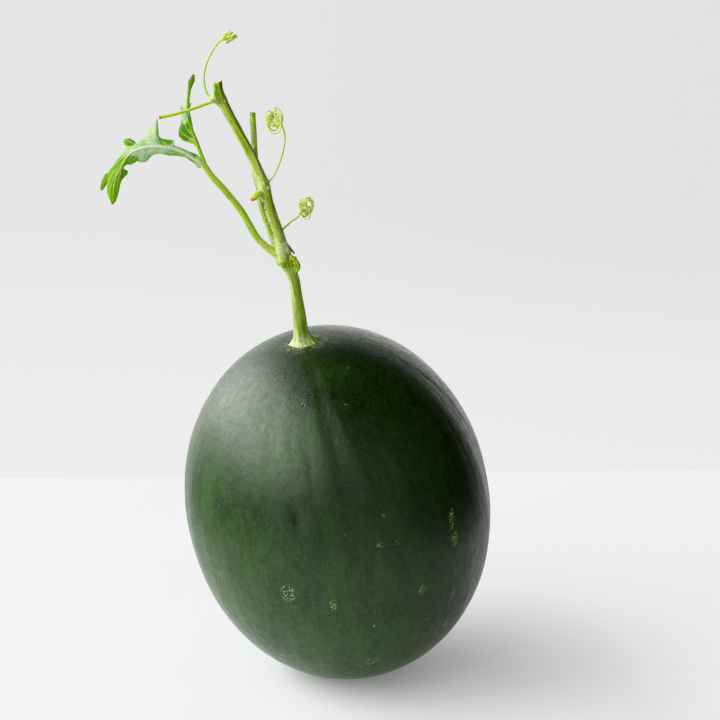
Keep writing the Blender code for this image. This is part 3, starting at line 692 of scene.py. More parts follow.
def rind_material():
    """Very dark green waxy rind: mottled along the fruit, with painted shade and light, speckled with pale
    scars, finely wrinkled.
    """
    material, tree, shader = new_material(
        "rind", IOR=1.68, Specular_Tint=(0.93, 1.0, 0.91, 1),
        Sheen_Weight=0.24, Sheen_Roughness=0.25, Sheen_Tint=(0.92, 1.0, 0.88, 1))
    place = position(tree)
    own = attribute(tree, "along", "Vector")
    broad = grain(tree, own, 60, 4, 0.65, (1, 1, 0.5))
    streaks = grain(tree, own, 330, 4, 0.7, (1, 1, 0.6))
    fine = grain(tree, own, 900, 3, 0.7, (1, 1, 0.8))
    mottle = remap(tree, weighted(tree, (broad, 0.28), (streaks, 0.27), (fine, 0.45)), 0.41, 0.59)
    deep = mix(tree, mottle, *RIND_SHADED)
    fresh = mix(tree, mottle, *RIND_LIT)
    # Painted light and shade: the colour goes from the shaded mottle on the upper right to the lit mottle on
    # the lower left
    towards_lit_side = add(tree, "ShaderNodeVectorMath", {0: place, 1: (-0.8, 0.0, -0.8)}, operation="DOT_PRODUCT")
    colour = mix(tree, remap(tree, towards_lit_side.outputs["Value"], -0.145, 0.035), deep, fresh)
    brown = grain(tree, own, 760, 2, 0.6)
    colour = mix(tree, remap(tree, brown, 0.54, 0.68, 0.0, 0.5), colour, RIND_BROWN)

    ragged = remap(tree, grain(tree, own, 110, 5, 0.7), 0.38, 0.62, 0.35, 1.0)
    light = times(tree, spots(tree, place, LIGHT_PATCHES), ragged)
    colour = mix(tree, light, colour, srgb(42, 82, 8))
    # Painted shade beside the grooves and in the dents
    dark = times(tree, spots(tree, place, DULL_AND_SHADED_PATCHES), ragged)
    colour = mix(tree, dark, colour, srgb(4, 22, 3))

    cells = add(tree, "ShaderNodeTexVoronoi", {"Vector": place, "Scale": 1250.0}, feature="F1")
    chance = add(tree, "ShaderNodeSeparateColor", {0: cells.outputs["Color"]}).outputs[0]
    flecks = times(
        tree, remap(tree, cells.outputs["Distance"], 0.28, 0.46, 1.0, 0.0), remap(tree, chance, 0.42, 0.50))
    clusters = remap(tree, spots(tree, place, SPECKLE_CLUSTERS), 0.05, 0.5)
    scars = times(tree, flecks, clusters)
    colour = mix(tree, times(tree, clusters, 0.35), colour, SPECKLE_GROUND)
    colour = mix(tree, scars, colour, SPECKLE)

    # Pale dots, three of them painted highlights on the pits, then painted shade in the pits
    dots = spots(tree, place, [(pixel, size, size, 1.0) for pixel, size in PALE_DOTS_AND_PIT_HIGHLIGHTS])
    colour = mix(tree, remap(tree, dots, 0.2, 0.9), colour, srgb(120, 150, 95))
    pits = spots(tree, place, [(pixel, size, size, 1.0) for pixel, size in SHADED_PITS])
    colour = mix(tree, remap(tree, pits, 0.2, 0.8), colour, srgb(14, 20, 10))

    ring = spot(tree, place, STALK[1][:3], WORN_RING_RADIUS, WORN_RING_RADIUS)
    worn = times(tree, remap(tree, ring, 0.1, 0.6), remap(tree, streaks, 0.45, 0.58))
    colour = mix(tree, times(tree, worn, 0.6), colour, srgb(104, 132, 84))
    blossom_end = FRUIT_MIDDLE - FRUIT_AXIS * (FRUIT_HALF_LENGTH - DIMPLE_DEPTH)
    scar = spot(tree, place, blossom_end, BLOSSOM_SCAR_RADIUS, BLOSSOM_SCAR_RADIUS)
    colour = mix(tree, remap(tree, scar, 0.15, 0.35), colour, srgb(112, 96, 62))
    tree.links.new(colour, shader.inputs["Base Color"])

    gloss = grain(tree, own, 260, 5, 0.7, (1, 1, 0.5))
    waxed = remap(tree, gloss, 0.40, 0.60, 0.37, 0.47)
    roughness = weighted(tree, (waxed, 1.0), (scars, 0.25), (dark, 0.45), (light, 0.12))
    tree.links.new(roughness, shader.inputs["Roughness"])

    pores = grain(tree, own, 1300, 3, 0.65, (1, 1, 0.7))
    wrinkles = grain(tree, own, 420, 4, 0.65, (1, 1, 0.35))
    swell = grain(tree, own, 150, 3, 0.55, (1, 1, 0.4))
    height = weighted(tree, (pores, 0.45), (wrinkles, 0.36), (swell, 0.7), (scars, 0.15), (pits, -0.8))
    bump(tree, shader, height, 1.0, SKIN_RELIEF)
    return material


def make_fruit():
    """The rind as one closed surface, crowded with rings towards both poles."""
    grooves = groove_turns()
    grooves += hidden_groove_turns(grooves)
    shares = np.arange(1, FRUIT_RINGS) / FRUIT_RINGS
    polar = pi * shares - POLE_CROWDING / 2 * np.sin(2 * pi * shares)
    turn = 2 * pi * np.arange(FRUIT_SEGMENTS) / FRUIT_SEGMENTS
    rings, own_rings = fruit_points(*np.meshgrid(polar, turn, indexing="ij"), grooves)
    poles, own_poles = fruit_points(np.array([0.0, pi]), np.zeros(2), grooves)
    points = np.concatenate([rings.reshape(-1, 3), poles])
    own = np.concatenate([own_rings.reshape(-1, 3), own_poles])
    faces = grid_faces(len(shares), FRUIT_SEGMENTS)
    faces += cap_faces(len(points) - 2, 0, FRUIT_SEGMENTS, False)
    faces += cap_faces(len(points) - 1, (len(shares) - 1) * FRUIT_SEGMENTS, FRUIT_SEGMENTS, True)
    make_piece("fruit_rind", points, faces, rind_material(), ["fruit"], vectors=own)


# Stems

def stem_material(name, streak_depth, roughness, bump_height):
    """A fresh stem: its own tint, with paler and darker streaks and dashes along it and a fine skin."""
    material, tree, shader = new_material(
        name, soft=(0.15, (0.6, 1.0, 0.3), 0.001), Roughness=roughness, Specular_IOR_Level=0.15)
    along = attribute(tree, "along", "Vector")
    tint = attribute(tree, "tint")
    streaks = grain(tree, along, 900, 3, 0.6, (1, 1, 0.07))
    dashes = grain(tree, along, 1500, 2, 0.5, (1, 1, 0.22))
    pale = mix(tree, 0.5, tint, srgb(214, 224, 150))
    deep = mix(tree, 0.75, tint, srgb(66, 100, 0))
    colour = mix(tree, remap(tree, streaks, 0.52, 0.62, 0.0, streak_depth), tint, pale)
    colour = mix(tree, remap(tree, streaks, 0.48, 0.38, 0.0, streak_depth), colour, deep)
    colour = mix(tree, remap(tree, dashes, 0.56, 0.66, 0.0, 0.8 * streak_depth), colour, deep)
    colour = mix(tree, remap(tree, dashes, 0.44, 0.36, 0.0, 0.7 * streak_depth), colour, pale)
    tree.links.new(colour, shader.inputs["Base Color"])
    bump(tree, shader, weighted(tree, (streaks, 1.0), (dashes, 0.3)), 0.6, bump_height)
    return material


def ridged(count, depth, fine_count, fine_depth, twist=0.0):
    """A cross-section with a few rounded ridges and finer ribs on them."""
    def shape(arc, angle, radius):
        turned = angle + twist * arc
        ridge = depth * np.cos(count * turned) * radius
        ribs = fine_depth * np.cos(fine_count * turned + 2 * np.sin(90 * arc)) * radius
        bumps = 0.03 * radius * np.sin(310 * arc + 3 * turned) * np.sin(170 * arc - 2 * angle)
        return ridge + ribs + bumps
    return shape


def collar(arc, angle, radius):
    """The stalk's section: five ridges that spread into uneven toes on the fruit."""
    foot = np.clip((radius - 0.0042) / 0.0045, 0, 1)
    toes = 0.035 * np.cos(5 * angle + 0.6) + 0.025 * np.cos(8 * angle + 2.0) + 0.02 * np.cos(13 * angle)
    ribs = 0.075 * np.cos(5 * angle + 0.6) + 0.03 * np.cos(15 * angle + 3 * np.sin(60 * arc))
    return radius * (toes * foot + ribs * (1 - 0.6 * foot))


STALK_KEYS = [
    (0.00, 184, 198, 124), (0.04, 196, 206, 160), (0.12, 192, 204, 162), (0.18, 168, 186, 116),
    (0.25, 146, 172, 76), (0.35, 138, 166, 64), (0.60, 142, 168, 72), (0.84, 142, 168, 74),
    (0.92, 120, 150, 34), (1.00, 92, 128, 8),
]
VINE_KEYS = [
    (0.00, 170, 190, 80), (0.05, 192, 206, 126), (0.10, 194, 208, 144), (0.17, 158, 180, 80),
    (0.28, 140, 162, 52), (0.36, 148, 170, 62), (0.42, 180, 196, 104), (0.47, 186, 202, 118),
    (0.52, 152, 178, 64), (0.66, 144, 168, 54), (0.80, 142, 166, 54), (0.87, 156, 178, 82),
    (0.93, 120, 154, 40), (0.97, 104, 142, 16), (1.00, 122, 146, 10),
]
CUT_PETIOLE_KEYS = [
    (0.0, 192, 206, 136), (0.2, 166, 190, 90), (0.5, 150, 178, 70), (0.8, 172, 192, 110),
    (0.97, 150, 176, 60), (1.0, 104, 136, 12),
]
LEAF_PETIOLE_KEYS = [
    (0.0, 192, 206, 124), (0.12, 182, 200, 92), (0.3, 166, 194, 72), (0.9, 158, 188, 64),
    (1.0, 146, 176, 56),
]
BARE_PETIOLE_KEYS = [
    (0.0, 186, 204, 92), (0.3, 174, 194, 36), (0.6, 180, 196, 70), (0.93, 172, 188, 44),
    (0.97, 160, 116, 72), (1.0, 226, 196, 182),
]
PITH = srgb(226, 214, 196)
# Dark green painted as shade in the crease under the knot
CREASE_SHADE = srgb(70, 104, 8)
SCAR = srgb(176, 112, 62)
PINK_FLECK = srgb(214, 158, 126)
OLIVE_BROWN = srgb(122, 106, 26)

# Marks on the stems: pixel, half sizes in pixels, colour and strength
# The crease under the knot and the dark green at the collar's right foot are painted shade
STALK_MARKS = [
    ((286, 266), (7, 2.4), CREASE_SHADE, 0.5), ((314, 341), (7, 7), srgb(104, 136, 8), 0.85),
    ((306, 327), (4, 12), srgb(84, 116, 8), 0.6), ((312.5, 343), (1.2, 1.2), srgb(190, 200, 60), 0.9),
    ((309, 338), (1.0, 2.4), srgb(64, 96, 4), 0.8), ((303.5, 339), (0.8, 4), srgb(100, 132, 40), 0.7),
    ((299.5, 341), (0.8, 3), srgb(120, 146, 66), 0.7), ((295.5, 340), (0.8, 4), srgb(110, 138, 60), 0.6),
    ((300, 347.5), (9, 1.4), srgb(150, 172, 66), 0.8),
]
# The dark green under the knot, at pixel (285, 264), is painted shade in its crease
VINE_MARKS = [
    ((280.5, 241), (1.8, 2.2), SCAR, 0.85), ((218, 96.5), (1.3, 0.9), PINK_FLECK, 0.8),
    ((224.6, 101), (0.9, 1.2), srgb(236, 206, 170), 0.9), ((217.5, 80), (1.6, 1.0), OLIVE_BROWN, 0.9),
    ((221.5, 91), (1.0, 4.0), SCAR, 0.5), ((215, 86), (1.6, 3.0), srgb(84, 144, 10), 0.7),
    ((211, 96), (3.0, 4.0), PALE_HAIRY_AND_LIT, 0.8), ((259, 186), (3.0, 5.0), srgb(216, 226, 178), 0.7),
    ((264, 184), (1.6, 1.6), srgb(186, 196, 60), 0.8), ((268, 188), (1.6, 1.6), srgb(226, 230, 196), 0.8),
    ((262, 191), (1.8, 1.4), srgb(226, 230, 196), 0.7), ((285, 264), (8, 2.2), srgb(104, 134, 20), 0.6),
    ((275, 262), (3, 2.5), srgb(170, 192, 50), 0.7), ((288, 257), (3, 3.5), srgb(104, 138, 30), 0.6),
    ((285, 247), (7, 7), srgb(196, 210, 150), 0.55),
]
CUT_PETIOLE_MARKS = [
    ((253, 147), (2, 3), srgb(222, 230, 190), 0.8), ((252, 113), (2, 1.4), srgb(120, 150, 30), 0.8),
]


def beaded(arc, angle, radius):
    """Small swellings along a strand, uneven and close together."""
    swellings = 0.45 * np.sin(5200 * arc + 2 * np.sin(900 * arc))
    return radius * (swellings + 0.15 * np.sin(3 * angle + 2000 * arc))


SEAM_KEYS = [(0.0, 220, 228, 190), (1.0, 214, 222, 178)]


def seam_material():
    """Pale hairs packed together, broken by painted dark green shade between them."""
    material, tree, shader = new_material("seam", Roughness=0.6)
    along = attribute(tree, "along", "Vector")
    shade_between_hairs = grain(tree, along, 1100, 1, 0.5, (0.5, 0.5, 0.8))
    colour = mix(tree, remap(tree, shade_between_hairs, 0.50, 0.58), attribute(tree, "tint"), srgb(72, 112, 22))
    tree.links.new(colour, shader.inputs["Base Color"])
    return material


# Lumps on the vine: pixel, size in pixels and height
VINE_LUMPS = [
    (264, 184, 2.2, 0.0007), (268.5, 188, 2.0, 0.0006), (262, 190, 1.8, 0.0005), (270, 181, 1.8, 0.0007),
    (217, 99, 3.0, 0.0008), (216.5, 84, 2.6, 0.0005), (281, 241, 1.8, 0.0004), (277, 252, 4.0, 0.0008),
    (286, 258, 3.0, 0.0006),
]
# Bulges: place, the way they face, size and height
STALK_TOE = ((-0.0278, -0.0185, 0.2056), (-1.0, -0.2, 0.0), 0.0032, 0.0012)
VINE_BULGES = [
    ((-0.0672, -0.0180, 0.3490), (-1.0, -0.2, 0.1), 0.0032, 0.0030),
    ((-0.0325, -0.0275, 0.2625), (-1.0, -0.5, 0.0), 0.0045, 0.0006),
    ((-0.0265, -0.0275, 0.2640), (1.0, -0.5, 0.0), 0.0030, 0.0006),
]


def make_stem(name, tube, keys, material, slot, nodes=(), **looks):
    points, faces, vectors = tube.mesh()
    colours = stem_colours(tube, keys, vectors, points, **looks)
    make_piece(name, points, faces, material, nodes, colours, vectors)


def make_stems():
    stalk_skin = stem_material("stalk_skin", 0.75, 0.42, 0.00022)
    vine_skin = stem_material("vine_skin", 0.6, 0.50, 0.00016)
    petiole_skin = stem_material("petiole_skin", 0.4, 0.45, 0.00008)

    stalk = Tube(STALK, STEM_STEP, 72, collar)
    stalk.bulge(*STALK_TOE)
    make_stem("stalk", stalk, STALK_KEYS, stalk_skin, "stalk", ["fruit_stalk"],
              shade=(srgb(80, 110, 6), 0.6), marks=STALK_MARKS)

    vine = Tube(VINE, STEM_STEP, 48, ridged(5, 0.07, 17, 0.02, 4.0), CUT_END)
    for lump in VINE_LUMPS:
        vine.swell(*lump)
    for bulge in VINE_BULGES:
        vine.bulge(*bulge)
    vine.slant_end((-0.45, -0.9, 0.1), 0.0019, 0.0045)
    make_stem("vine_stem", vine, VINE_KEYS, vine_skin, "stem", ["vine"],
              pith=PITH, shade=(srgb(74, 104, 0), 0.9), marks=VINE_MARKS)

    cut = Tube(CUT_PETIOLE, STEM_STEP, 40, ridged(5, 0.07, 13, 0.02), CUT_END)
    cut.slant_end((-0.2, -1.0, 0.0), 0.0010, 0.0030)
    make_stem("cut_leaf_stalk", cut, CUT_PETIOLE_KEYS, vine_skin, "stem", ["cut_petiole"],
              pith=PITH, shade=(srgb(96, 128, 10), 0.5), marks=CUT_PETIOLE_MARKS)

    leaf_stalk = Tube(LEAF_PETIOLE, STEM_STEP, 40, ridged(5, 0.05, 14, 0.012, 8.0))
    make_stem("leaf_stalk", leaf_stalk, LEAF_PETIOLE_KEYS, petiole_skin, "stem", ["leaf_petiole"],
              shade=(srgb(150, 182, 52), 0.35))

    bare = Tube(BARE_PETIOLE, STEM_STEP, 28, ridged(4, 0.05, 11, 0.01), CUT_END)
    bare.slant_end((0.6, -0.8, 0.0), 0.0008, 0.0020)
    make_stem("bare_leaf_stalk", bare, BARE_PETIOLE_KEYS, petiole_skin, "stem", ["bare_petiole"],
              pith=srgb(236, 214, 204))

    strand = Tube(SEAM_STRAND, FINE_STEP, 12, beaded)
    make_stem("seam_strand", strand, SEAM_KEYS, seam_material(), "stem")
    return stalk, vine, cut, leaf_stalk


# Leaf: each lobe's rib as (x, y, z, radius) and its margins as (place along the rib, x, z). The blade folds
# away behind the rib, by the fold times the distance from it.
LOBES = {
    "leaf_blade": {
        "rib": [
            (-0.0729, -0.0285, 0.3130, 0.0013), (-0.0786, -0.0295, 0.3166, 0.0010),
            (-0.0833, -0.0305, 0.3201, 0.0010), (-0.0888, -0.0315, 0.3226, 0.0009),
            (-0.0940, -0.0325, 0.3240, 0.0009), (-0.0992, -0.0333, 0.3245, 0.0009),
            (-0.1031, -0.0337, 0.3245, 0.0008), (-0.1076, -0.0340, 0.3236, 0.0007),
            (-0.1121, -0.0340, 0.3218, 0.0006), (-0.1158, -0.0336, 0.3184, 0.0005),
            (-0.1188, -0.0330, 0.3136, 0.0004), (-0.1215, -0.0322, 0.3083, 0.0004),
            (-0.1233, -0.0314, 0.3026, 0.0004), (-0.1242, -0.0306, 0.2962, 0.0003),
            (-0.1246, -0.0301, 0.2915, 0.0003),
        ],
        "left_fold": 0.45,
        "left": [
            (0.5, -0.0748, 0.3168), (1.0, -0.0772, 0.3190), (1.8, -0.0818, 0.3212), (2.6, -0.0870, 0.3238),
            (3.1, -0.0911, 0.3252), (3.4, -0.0892, 0.3273), (3.7, -0.0927, 0.3277), (4.2, -0.0964, 0.3284),
            (4.6, -0.0981, 0.3298), (4.9, -0.0984, 0.3349), (5.1, -0.0989, 0.3403), (5.5, -0.1012, 0.3354),
            (6.2, -0.1061, 0.3296), (7.0, -0.1102, 0.3254), (7.3, -0.1114, 0.3275), (7.6, -0.1139, 0.3288),
            (8.1, -0.1172, 0.3282), (8.6, -0.1174, 0.3242), (9.3, -0.1182, 0.3198), (9.9, -0.1214, 0.3169),
            (10.5, -0.1236, 0.3131), (10.9, -0.1258, 0.3107), (11.4, -0.1271, 0.3060),
            (12.0, -0.1276, 0.3020), (12.7, -0.1276, 0.2980), (13.4, -0.1264, 0.2944),
            (14.0, -0.1251, 0.2914),
        ],
        "right_fold": 0.35,
        "right": [
            (0.5, -0.0750, 0.3110), (0.8, -0.0774, 0.3118), (1.2, -0.0788, 0.3142), (1.8, -0.0833, 0.3177),
            (2.6, -0.0889, 0.3187), (3.3, -0.0929, 0.3188), (4.0, -0.0964, 0.3200), (4.6, -0.0989, 0.3201),
            (5.1, -0.1016, 0.3193), (5.5, -0.1034, 0.3175), (5.9, -0.1049, 0.3156), (6.4, -0.1080, 0.3150),
            (6.9, -0.1104, 0.3162), (7.3, -0.1113, 0.3152), (7.9, -0.1140, 0.3138), (8.5, -0.1161, 0.3141),
            (9.1, -0.1176, 0.3130), (9.9, -0.1178, 0.3119), (10.5, -0.1156, 0.3104),
            (10.9, -0.1160, 0.3083), (11.2, -0.1184, 0.3062), (11.6, -0.1195, 0.3044),
            (12.2, -0.1203, 0.3014), (12.9, -0.1213, 0.2976), (13.5, -0.1226, 0.2938),
            (14.0, -0.1241, 0.2914),
        ],
    },
    "side_lobe": {
        "rib": [
            (-0.1226, -0.0312, 0.3098, 0.0006), (-0.1269, -0.0276, 0.3070, 0.0006),
            (-0.1297, -0.0258, 0.3028, 0.0005), (-0.1315, -0.0250, 0.2986, 0.0004),
        ],
        "left_fold": 0.25,
        "left": [
            (0.2, -0.1240, 0.3104), (0.8, -0.1285, 0.3082), (1.7, -0.1310, 0.3036), (3.0, -0.1321, 0.2988),
        ],
        "right_fold": 0.25,
        "right": [
            (0.2, -0.1228, 0.3078), (1.0, -0.1257, 0.3055), (1.9, -0.1281, 0.3018), (3.0, -0.1307, 0.2982),
        ],
    },
    "upright_lobe": {
        "rib": [
            (-0.0729, -0.0285, 0.3130, 0.0013), (-0.0743, -0.0274, 0.3170, 0.0010),
            (-0.0766, -0.0258, 0.3221, 0.0009), (-0.0787, -0.0240, 0.3271, 0.0008),
            (-0.0805, -0.0220, 0.3310, 0.0008), (-0.0820, -0.0195, 0.3363, 0.0005),
            (-0.0828, -0.0176, 0.3406, 0.0004), (-0.0828, -0.0163, 0.3447, 0.0004),
            (-0.0827, -0.0154, 0.3481, 0.0004), (-0.0821, -0.0144, 0.3522, 0.0004),
            (-0.0816, -0.0139, 0.3550, 0.0004), (-0.0794, -0.0131, 0.3612, 0.0003),
        ],
        "left_fold": 0.30,
        "left": [
            (0.6, -0.0744, 0.3157), (1.2, -0.0757, 0.3184), (1.8, -0.0774, 0.3222), (2.3, -0.0794, 0.3246),
            (2.5, -0.0814, 0.3249), (3.0, -0.0856, 0.3259), (3.3, -0.0877, 0.3282), (3.8, -0.0880, 0.3310),
            (4.4, -0.0865, 0.3346), (5.2, -0.0864, 0.3403), (5.5, -0.0868, 0.3424),
            (5.75, -0.0868, 0.3450), (5.95, -0.0859, 0.3426), (6.4, -0.0847, 0.3432),
            (7.0, -0.0842, 0.3449), (8.2, -0.0834, 0.3492), (9.0, -0.0829, 0.3526), (9.7, -0.0827, 0.3550),
            (10.2, -0.0825, 0.3574), (10.6, -0.0808, 0.3602), (11.0, -0.0796, 0.3618),
        ],
        "right_fold": 0.40,
        "right": [
            (0.6, -0.0727, 0.3156), (2.0, -0.0755, 0.3226), (4.0, -0.0794, 0.3315), (6.0, -0.0817, 0.3408),
            (6.6, -0.0819, 0.3428), (6.9, -0.0804, 0.3458), (7.15, -0.0818, 0.3450),
            (8.0, -0.0817, 0.3481), (9.0, -0.0811, 0.3523), (9.7, -0.0803, 0.3545),
            (10.3, -0.0789, 0.3576), (11.0, -0.0789, 0.3610),
        ],
    },
}

BLADE_CAMBER = 0.06
BLADE_MIDDLE_THICKNESS = 0.00042
BLADE_MARGIN_THICKNESS = 0.00024
STATIONS_A_PLACE = 16
BLADE_STEPS = 18
# Columns beside the rib, in shares of its radius
NEAR_RIB = np.array([0.35, 0.7, 1.0, 1.3])
CORNER_SOFTNESS = 0.07
TOOTH_HEIGHT = 0.00016
TEETH_A_PLACE = 3.3
MARGIN_CURL = 0.0005
PUCKER_HEIGHT = 0.00035
VEIN_DEPTH = 0.00022
VEIN_HEIGHT = 0.00016
# In millimetres: a vein's half width, and a lobe's usual half width and length between two places of its rib
VEIN_WIDTH = 0.26
LOBE_WIDTH = 5.0
PLACE_WIDTH = 4.9

# Side veins: the place on the rib where each starts, and the place on the margin that it runs to
VEINS = {
    "leaf_blade": {
        "left": [
            (0.8, 2.2), (2.0, 3.3), (3.2, 5.0), (4.3, 5.3), (5.2, 7.2), (6.4, 8.1), (7.6, 10.6),
            (8.7, 12.7), (10.2, 14.0),
        ],
        "right": [
            (0.9, 2.6), (2.4, 4.0), (3.8, 5.3), (5.0, 6.9), (6.1, 8.5), (7.3, 9.1), (8.3, 11.6),
            (9.6, 13.6),
        ],
    },
    "side_lobe": {"left": [(0.2, 2.6)], "right": [(0.4, 2.9)]},
    "upright_lobe": {
        "left": [
            (0.9, 2.2), (1.6, 3.2), (2.5, 4.0), (3.4, 5.2), (4.6, 6.2), (6.0, 8.2), (7.6, 10.2),
            (9.0, 10.8),
        ],
        "right": [(1.5, 4.0), (5.0, 6.8), (7.4, 9.4), (8.8, 10.6)],
    },
}

LEAF_PALE = srgb(176, 198, 152)
LEAF_PALE_VEIN = srgb(206, 218, 188)
LEAF_BRIGHT = srgb(108, 156, 22)
LEAF_BRIGHT_VEIN = srgb(196, 216, 142)
LEAF_DARK = srgb(86, 134, 4)
LEAF_MIDDLE = srgb(140, 180, 96)
VEIN_STRENGTH = 0.9

# Where the side towards the camera differs from its lobe's own colour: pixel, half sizes in pixels, colour
LEAF_PATCHES = [
    ((165, 141), (9, 6), srgb(104, 158, 60)), ((184, 151), (14, 5), srgb(126, 172, 88)),
    ((194, 158), (9, 6), srgb(116, 164, 70)), ((157.5, 129), (2.2, 10), srgb(126, 174, 84)),
    ((141, 143), (6, 3), srgb(134, 176, 92)), ((175, 154.5), (14, 4), LEAF_MIDDLE),
    ((150, 158), (9, 6), srgb(158, 192, 132)), ((129.5, 141), (8, 6), LEAF_DARK),
    ((132, 161), (8, 6), srgb(102, 156, 22)), ((125, 175), (6, 7), LEAF_DARK),
    ((200, 158), (4, 10), srgb(160, 196, 132)), ((184.5, 133), (9, 10), srgb(74, 118, 4)),
    ((184.5, 115.5), (4.5, 9), srgb(178, 206, 168)), ((185.6, 100), (2.2, 9), srgb(164, 198, 128)),
    ((191, 82), (5, 8), srgb(80, 130, 12)),
]


def margin_places(margin, at):
    """The margin's x and z at places along the rib, its corners slightly rounded."""
    places, xs, zs = (np.array(column) for column in zip(*margin))
    shifts = (-CORNER_SOFTNESS, 0, CORNER_SOFTNESS)
    return [sum(np.interp(at + shift, places, values) for shift in shifts) / 3 for values in (xs, zs)]


def vein_share(veins, places, shares):
    """One on a side vein and less beside it, at each place and each share of the way to the margin."""
    total = np.zeros(np.broadcast(places, shares).shape)
    for start, end in veins:
        line = start + (end - start) * shares**0.85
        run = (end - start) * PLACE_WIDTH
        away = (places - line) * PLACE_WIDTH * LOBE_WIDTH / np.hypot(LOBE_WIDTH, run)
        taper = np.clip(1.15 - shares, 0, 1)
        total = np.maximum(total, taper * np.exp(-((away / VEIN_WIDTH) ** 2)))
    return total


def lobe_grid(name, lobe):
    """The middle of the blade as a grid of points, with each one's share of the way to the margin."""
    start, last = lobe["left"][0][0], lobe["left"][-1][0]
    places = np.linspace(start, last, int((last - start) * STATIONS_A_PLACE) + 1)
    rib = np.array([catmull_rom(lobe["rib"], min(at, len(lobe["rib"]) - 1.0001)) for at in places])
    centres, radii = rib[:, :3], rib[:, 3]
    halves = []
    for side, sign in (("left", -1), ("right", 1)):
        x, z = margin_places(lobe[side], places)
        teeth = TOOTH_HEIGHT * (2 * np.abs((places * TEETH_A_PLACE + sign) % 1 - 0.5) - 0.5)
        reach = np.stack([x - centres[:, 0], np.zeros(len(x)), z - centres[:, 2]], axis=1)
        length = np.linalg.norm(reach, axis=1)
        reach *= (1 + teeth / np.maximum(length, 0.0004))[:, None]
        reach[:, 1] = lobe[f"{side}_fold"] * length
        fixed = NEAR_RIB * (np.minimum(radii, length / 2.2) / np.maximum(length, 1e-6))[:, None]
        even = fixed[:, -1:] + (1 - fixed[:, -1:]) * np.arange(1, BLADE_STEPS + 1) / BLADE_STEPS
        shares = np.concatenate([fixed, even], axis=1)
        camber = -BLADE_CAMBER * np.sin(pi * shares) * length[:, None]
        points = centres[:, None] + reach[:, None] * shares[..., None]
        points[..., 1] += camber
        curl = MARGIN_CURL * np.sin(2.4 * places + sign) * np.minimum(length / 0.006, 1)
        points[..., 1] += curl[:, None] * shares**4
        veins = vein_share(VEINS[name][side], places[:, None], shares)
        halves.append((points, shares, veins))
    (left, left_shares, left_veins), (right, right_shares, right_veins) = halves
    grid = np.concatenate([left[:, ::-1], centres[:, None], right], axis=1)
    shares = np.concatenate([-left_shares[:, ::-1], np.zeros((len(places), 1)), right_shares], axis=1)
    veins = np.concatenate([left_veins[:, ::-1], np.zeros((len(places), 1)), right_veins], axis=1)
    return places, grid, shares, veins


def blade_noise(points, scale):
    flat = points.reshape(-1, 3)
    return np.array([noise.noise(Vector(p) * scale) for p in flat]).reshape(points.shape[:-1])


def side_colours(name, places, shares, veins, points, front):
    """Colours of one side of a lobe. The tip of the arched lobe turns its upper side to the camera."""
    if name == "leaf_blade":
        below = 1 / (1 + np.exp(-(places[:, None] - 8.55) / 0.10))
        above = 1 / (1 + np.exp(-(places[:, None] - 9.0) / 0.12))
        upper = np.where(shares > 0, below, above)
    elif name == "side_lobe":
        upper = np.ones(shares.shape)
    else:
        upper = np.full(shares.shape, 0.9)
    if not front:
        upper = 1 - upper
    colours = blend(np.array(LEAF_PALE), LEAF_BRIGHT, upper)
    if front:
        patches = [(*patch, 1.0) for patch in LEAF_PATCHES]
        colours = touched(colours, points, patches, 0.70, 1.05)
    vein_colours = blend(np.array(LEAF_PALE_VEIN), LEAF_BRIGHT_VEIN, upper)
    return blend(colours, vein_colours, VEIN_STRENGTH * veins)


def lobe_sheet(name, lobe):
    """A thin closed sheet: points, faces and colours of both of its sides."""
    places, grid, shares, veins = lobe_grid(name, lobe)
    along = np.gradient(grid, axis=0)
    across = np.gradient(grid, axis=1)
    normals = unit(np.cross(across, along))
    normals[normals[..., 1] > 0] *= -1
    inner = np.sin(pi * np.clip(np.abs(shares), 0, 1))
    pucker = (PUCKER_HEIGHT * blade_noise(grid, 260) + VEIN_DEPTH * (1 - veins)) * inner
    thinned = BLADE_MIDDLE_THICKNESS - BLADE_MARGIN_THICKNESS
    thickness = BLADE_MIDDLE_THICKNESS - thinned * np.abs(shares)
    middle = grid + normals * pucker[..., None]
    front = middle + normals * (thickness / 2 + VEIN_HEIGHT * veins)[..., None]
    back = middle - normals * (thickness / 2 - 0.4 * VEIN_HEIGHT * veins)[..., None]
    rows, columns = shares.shape
    points = np.concatenate([front.reshape(-1, 3), back.reshape(-1, 3)])
    colours = np.concatenate([
        side_colours(name, places, shares, veins, front, True).reshape(-1, 3),
        side_colours(name, places, shares, veins, back, False).reshape(-1, 3),
    ])
    faces = []
    behind = rows * columns
    for i in range(rows - 1):
        for j in range(columns - 1):
            a, b = i * columns + j, i * columns + j + 1
            c, d = b + columns, a + columns
            faces.append((a, b, c, d))
            faces.append((behind + d, behind + c, behind + b, behind + a))
    rim = list(range(columns))
    rim += [i * columns + columns - 1 for i in range(1, rows)]
    rim += [(rows - 1) * columns + j for j in range(columns - 2, -1, -1)]
    rim += [i * columns for i in range(rows - 2, 0, -1)]
    for a, b in zip(rim, rim[1:] + rim[:1]):
        faces.append((b, a, behind + a, behind + b))
    return points, faces, colours


RIB_KEYS = {
    "leaf_blade": [
        (0.0, 160, 188, 76), (0.08, 200, 214, 172), (0.5, 210, 220, 194), (0.60, 196, 212, 150),
        (0.68, 188, 210, 128), (1.0, 150, 188, 70),
    ],
    "side_lobe": [(0.0, 170, 200, 110), (1.0, 140, 182, 70)],
    "upright_lobe": [
        (0.0, 150, 182, 56), (0.33, 140, 174, 48), (0.5, 104, 148, 24), (0.7, 124, 166, 60),
        (1.0, 96, 142, 14),
    ],
}


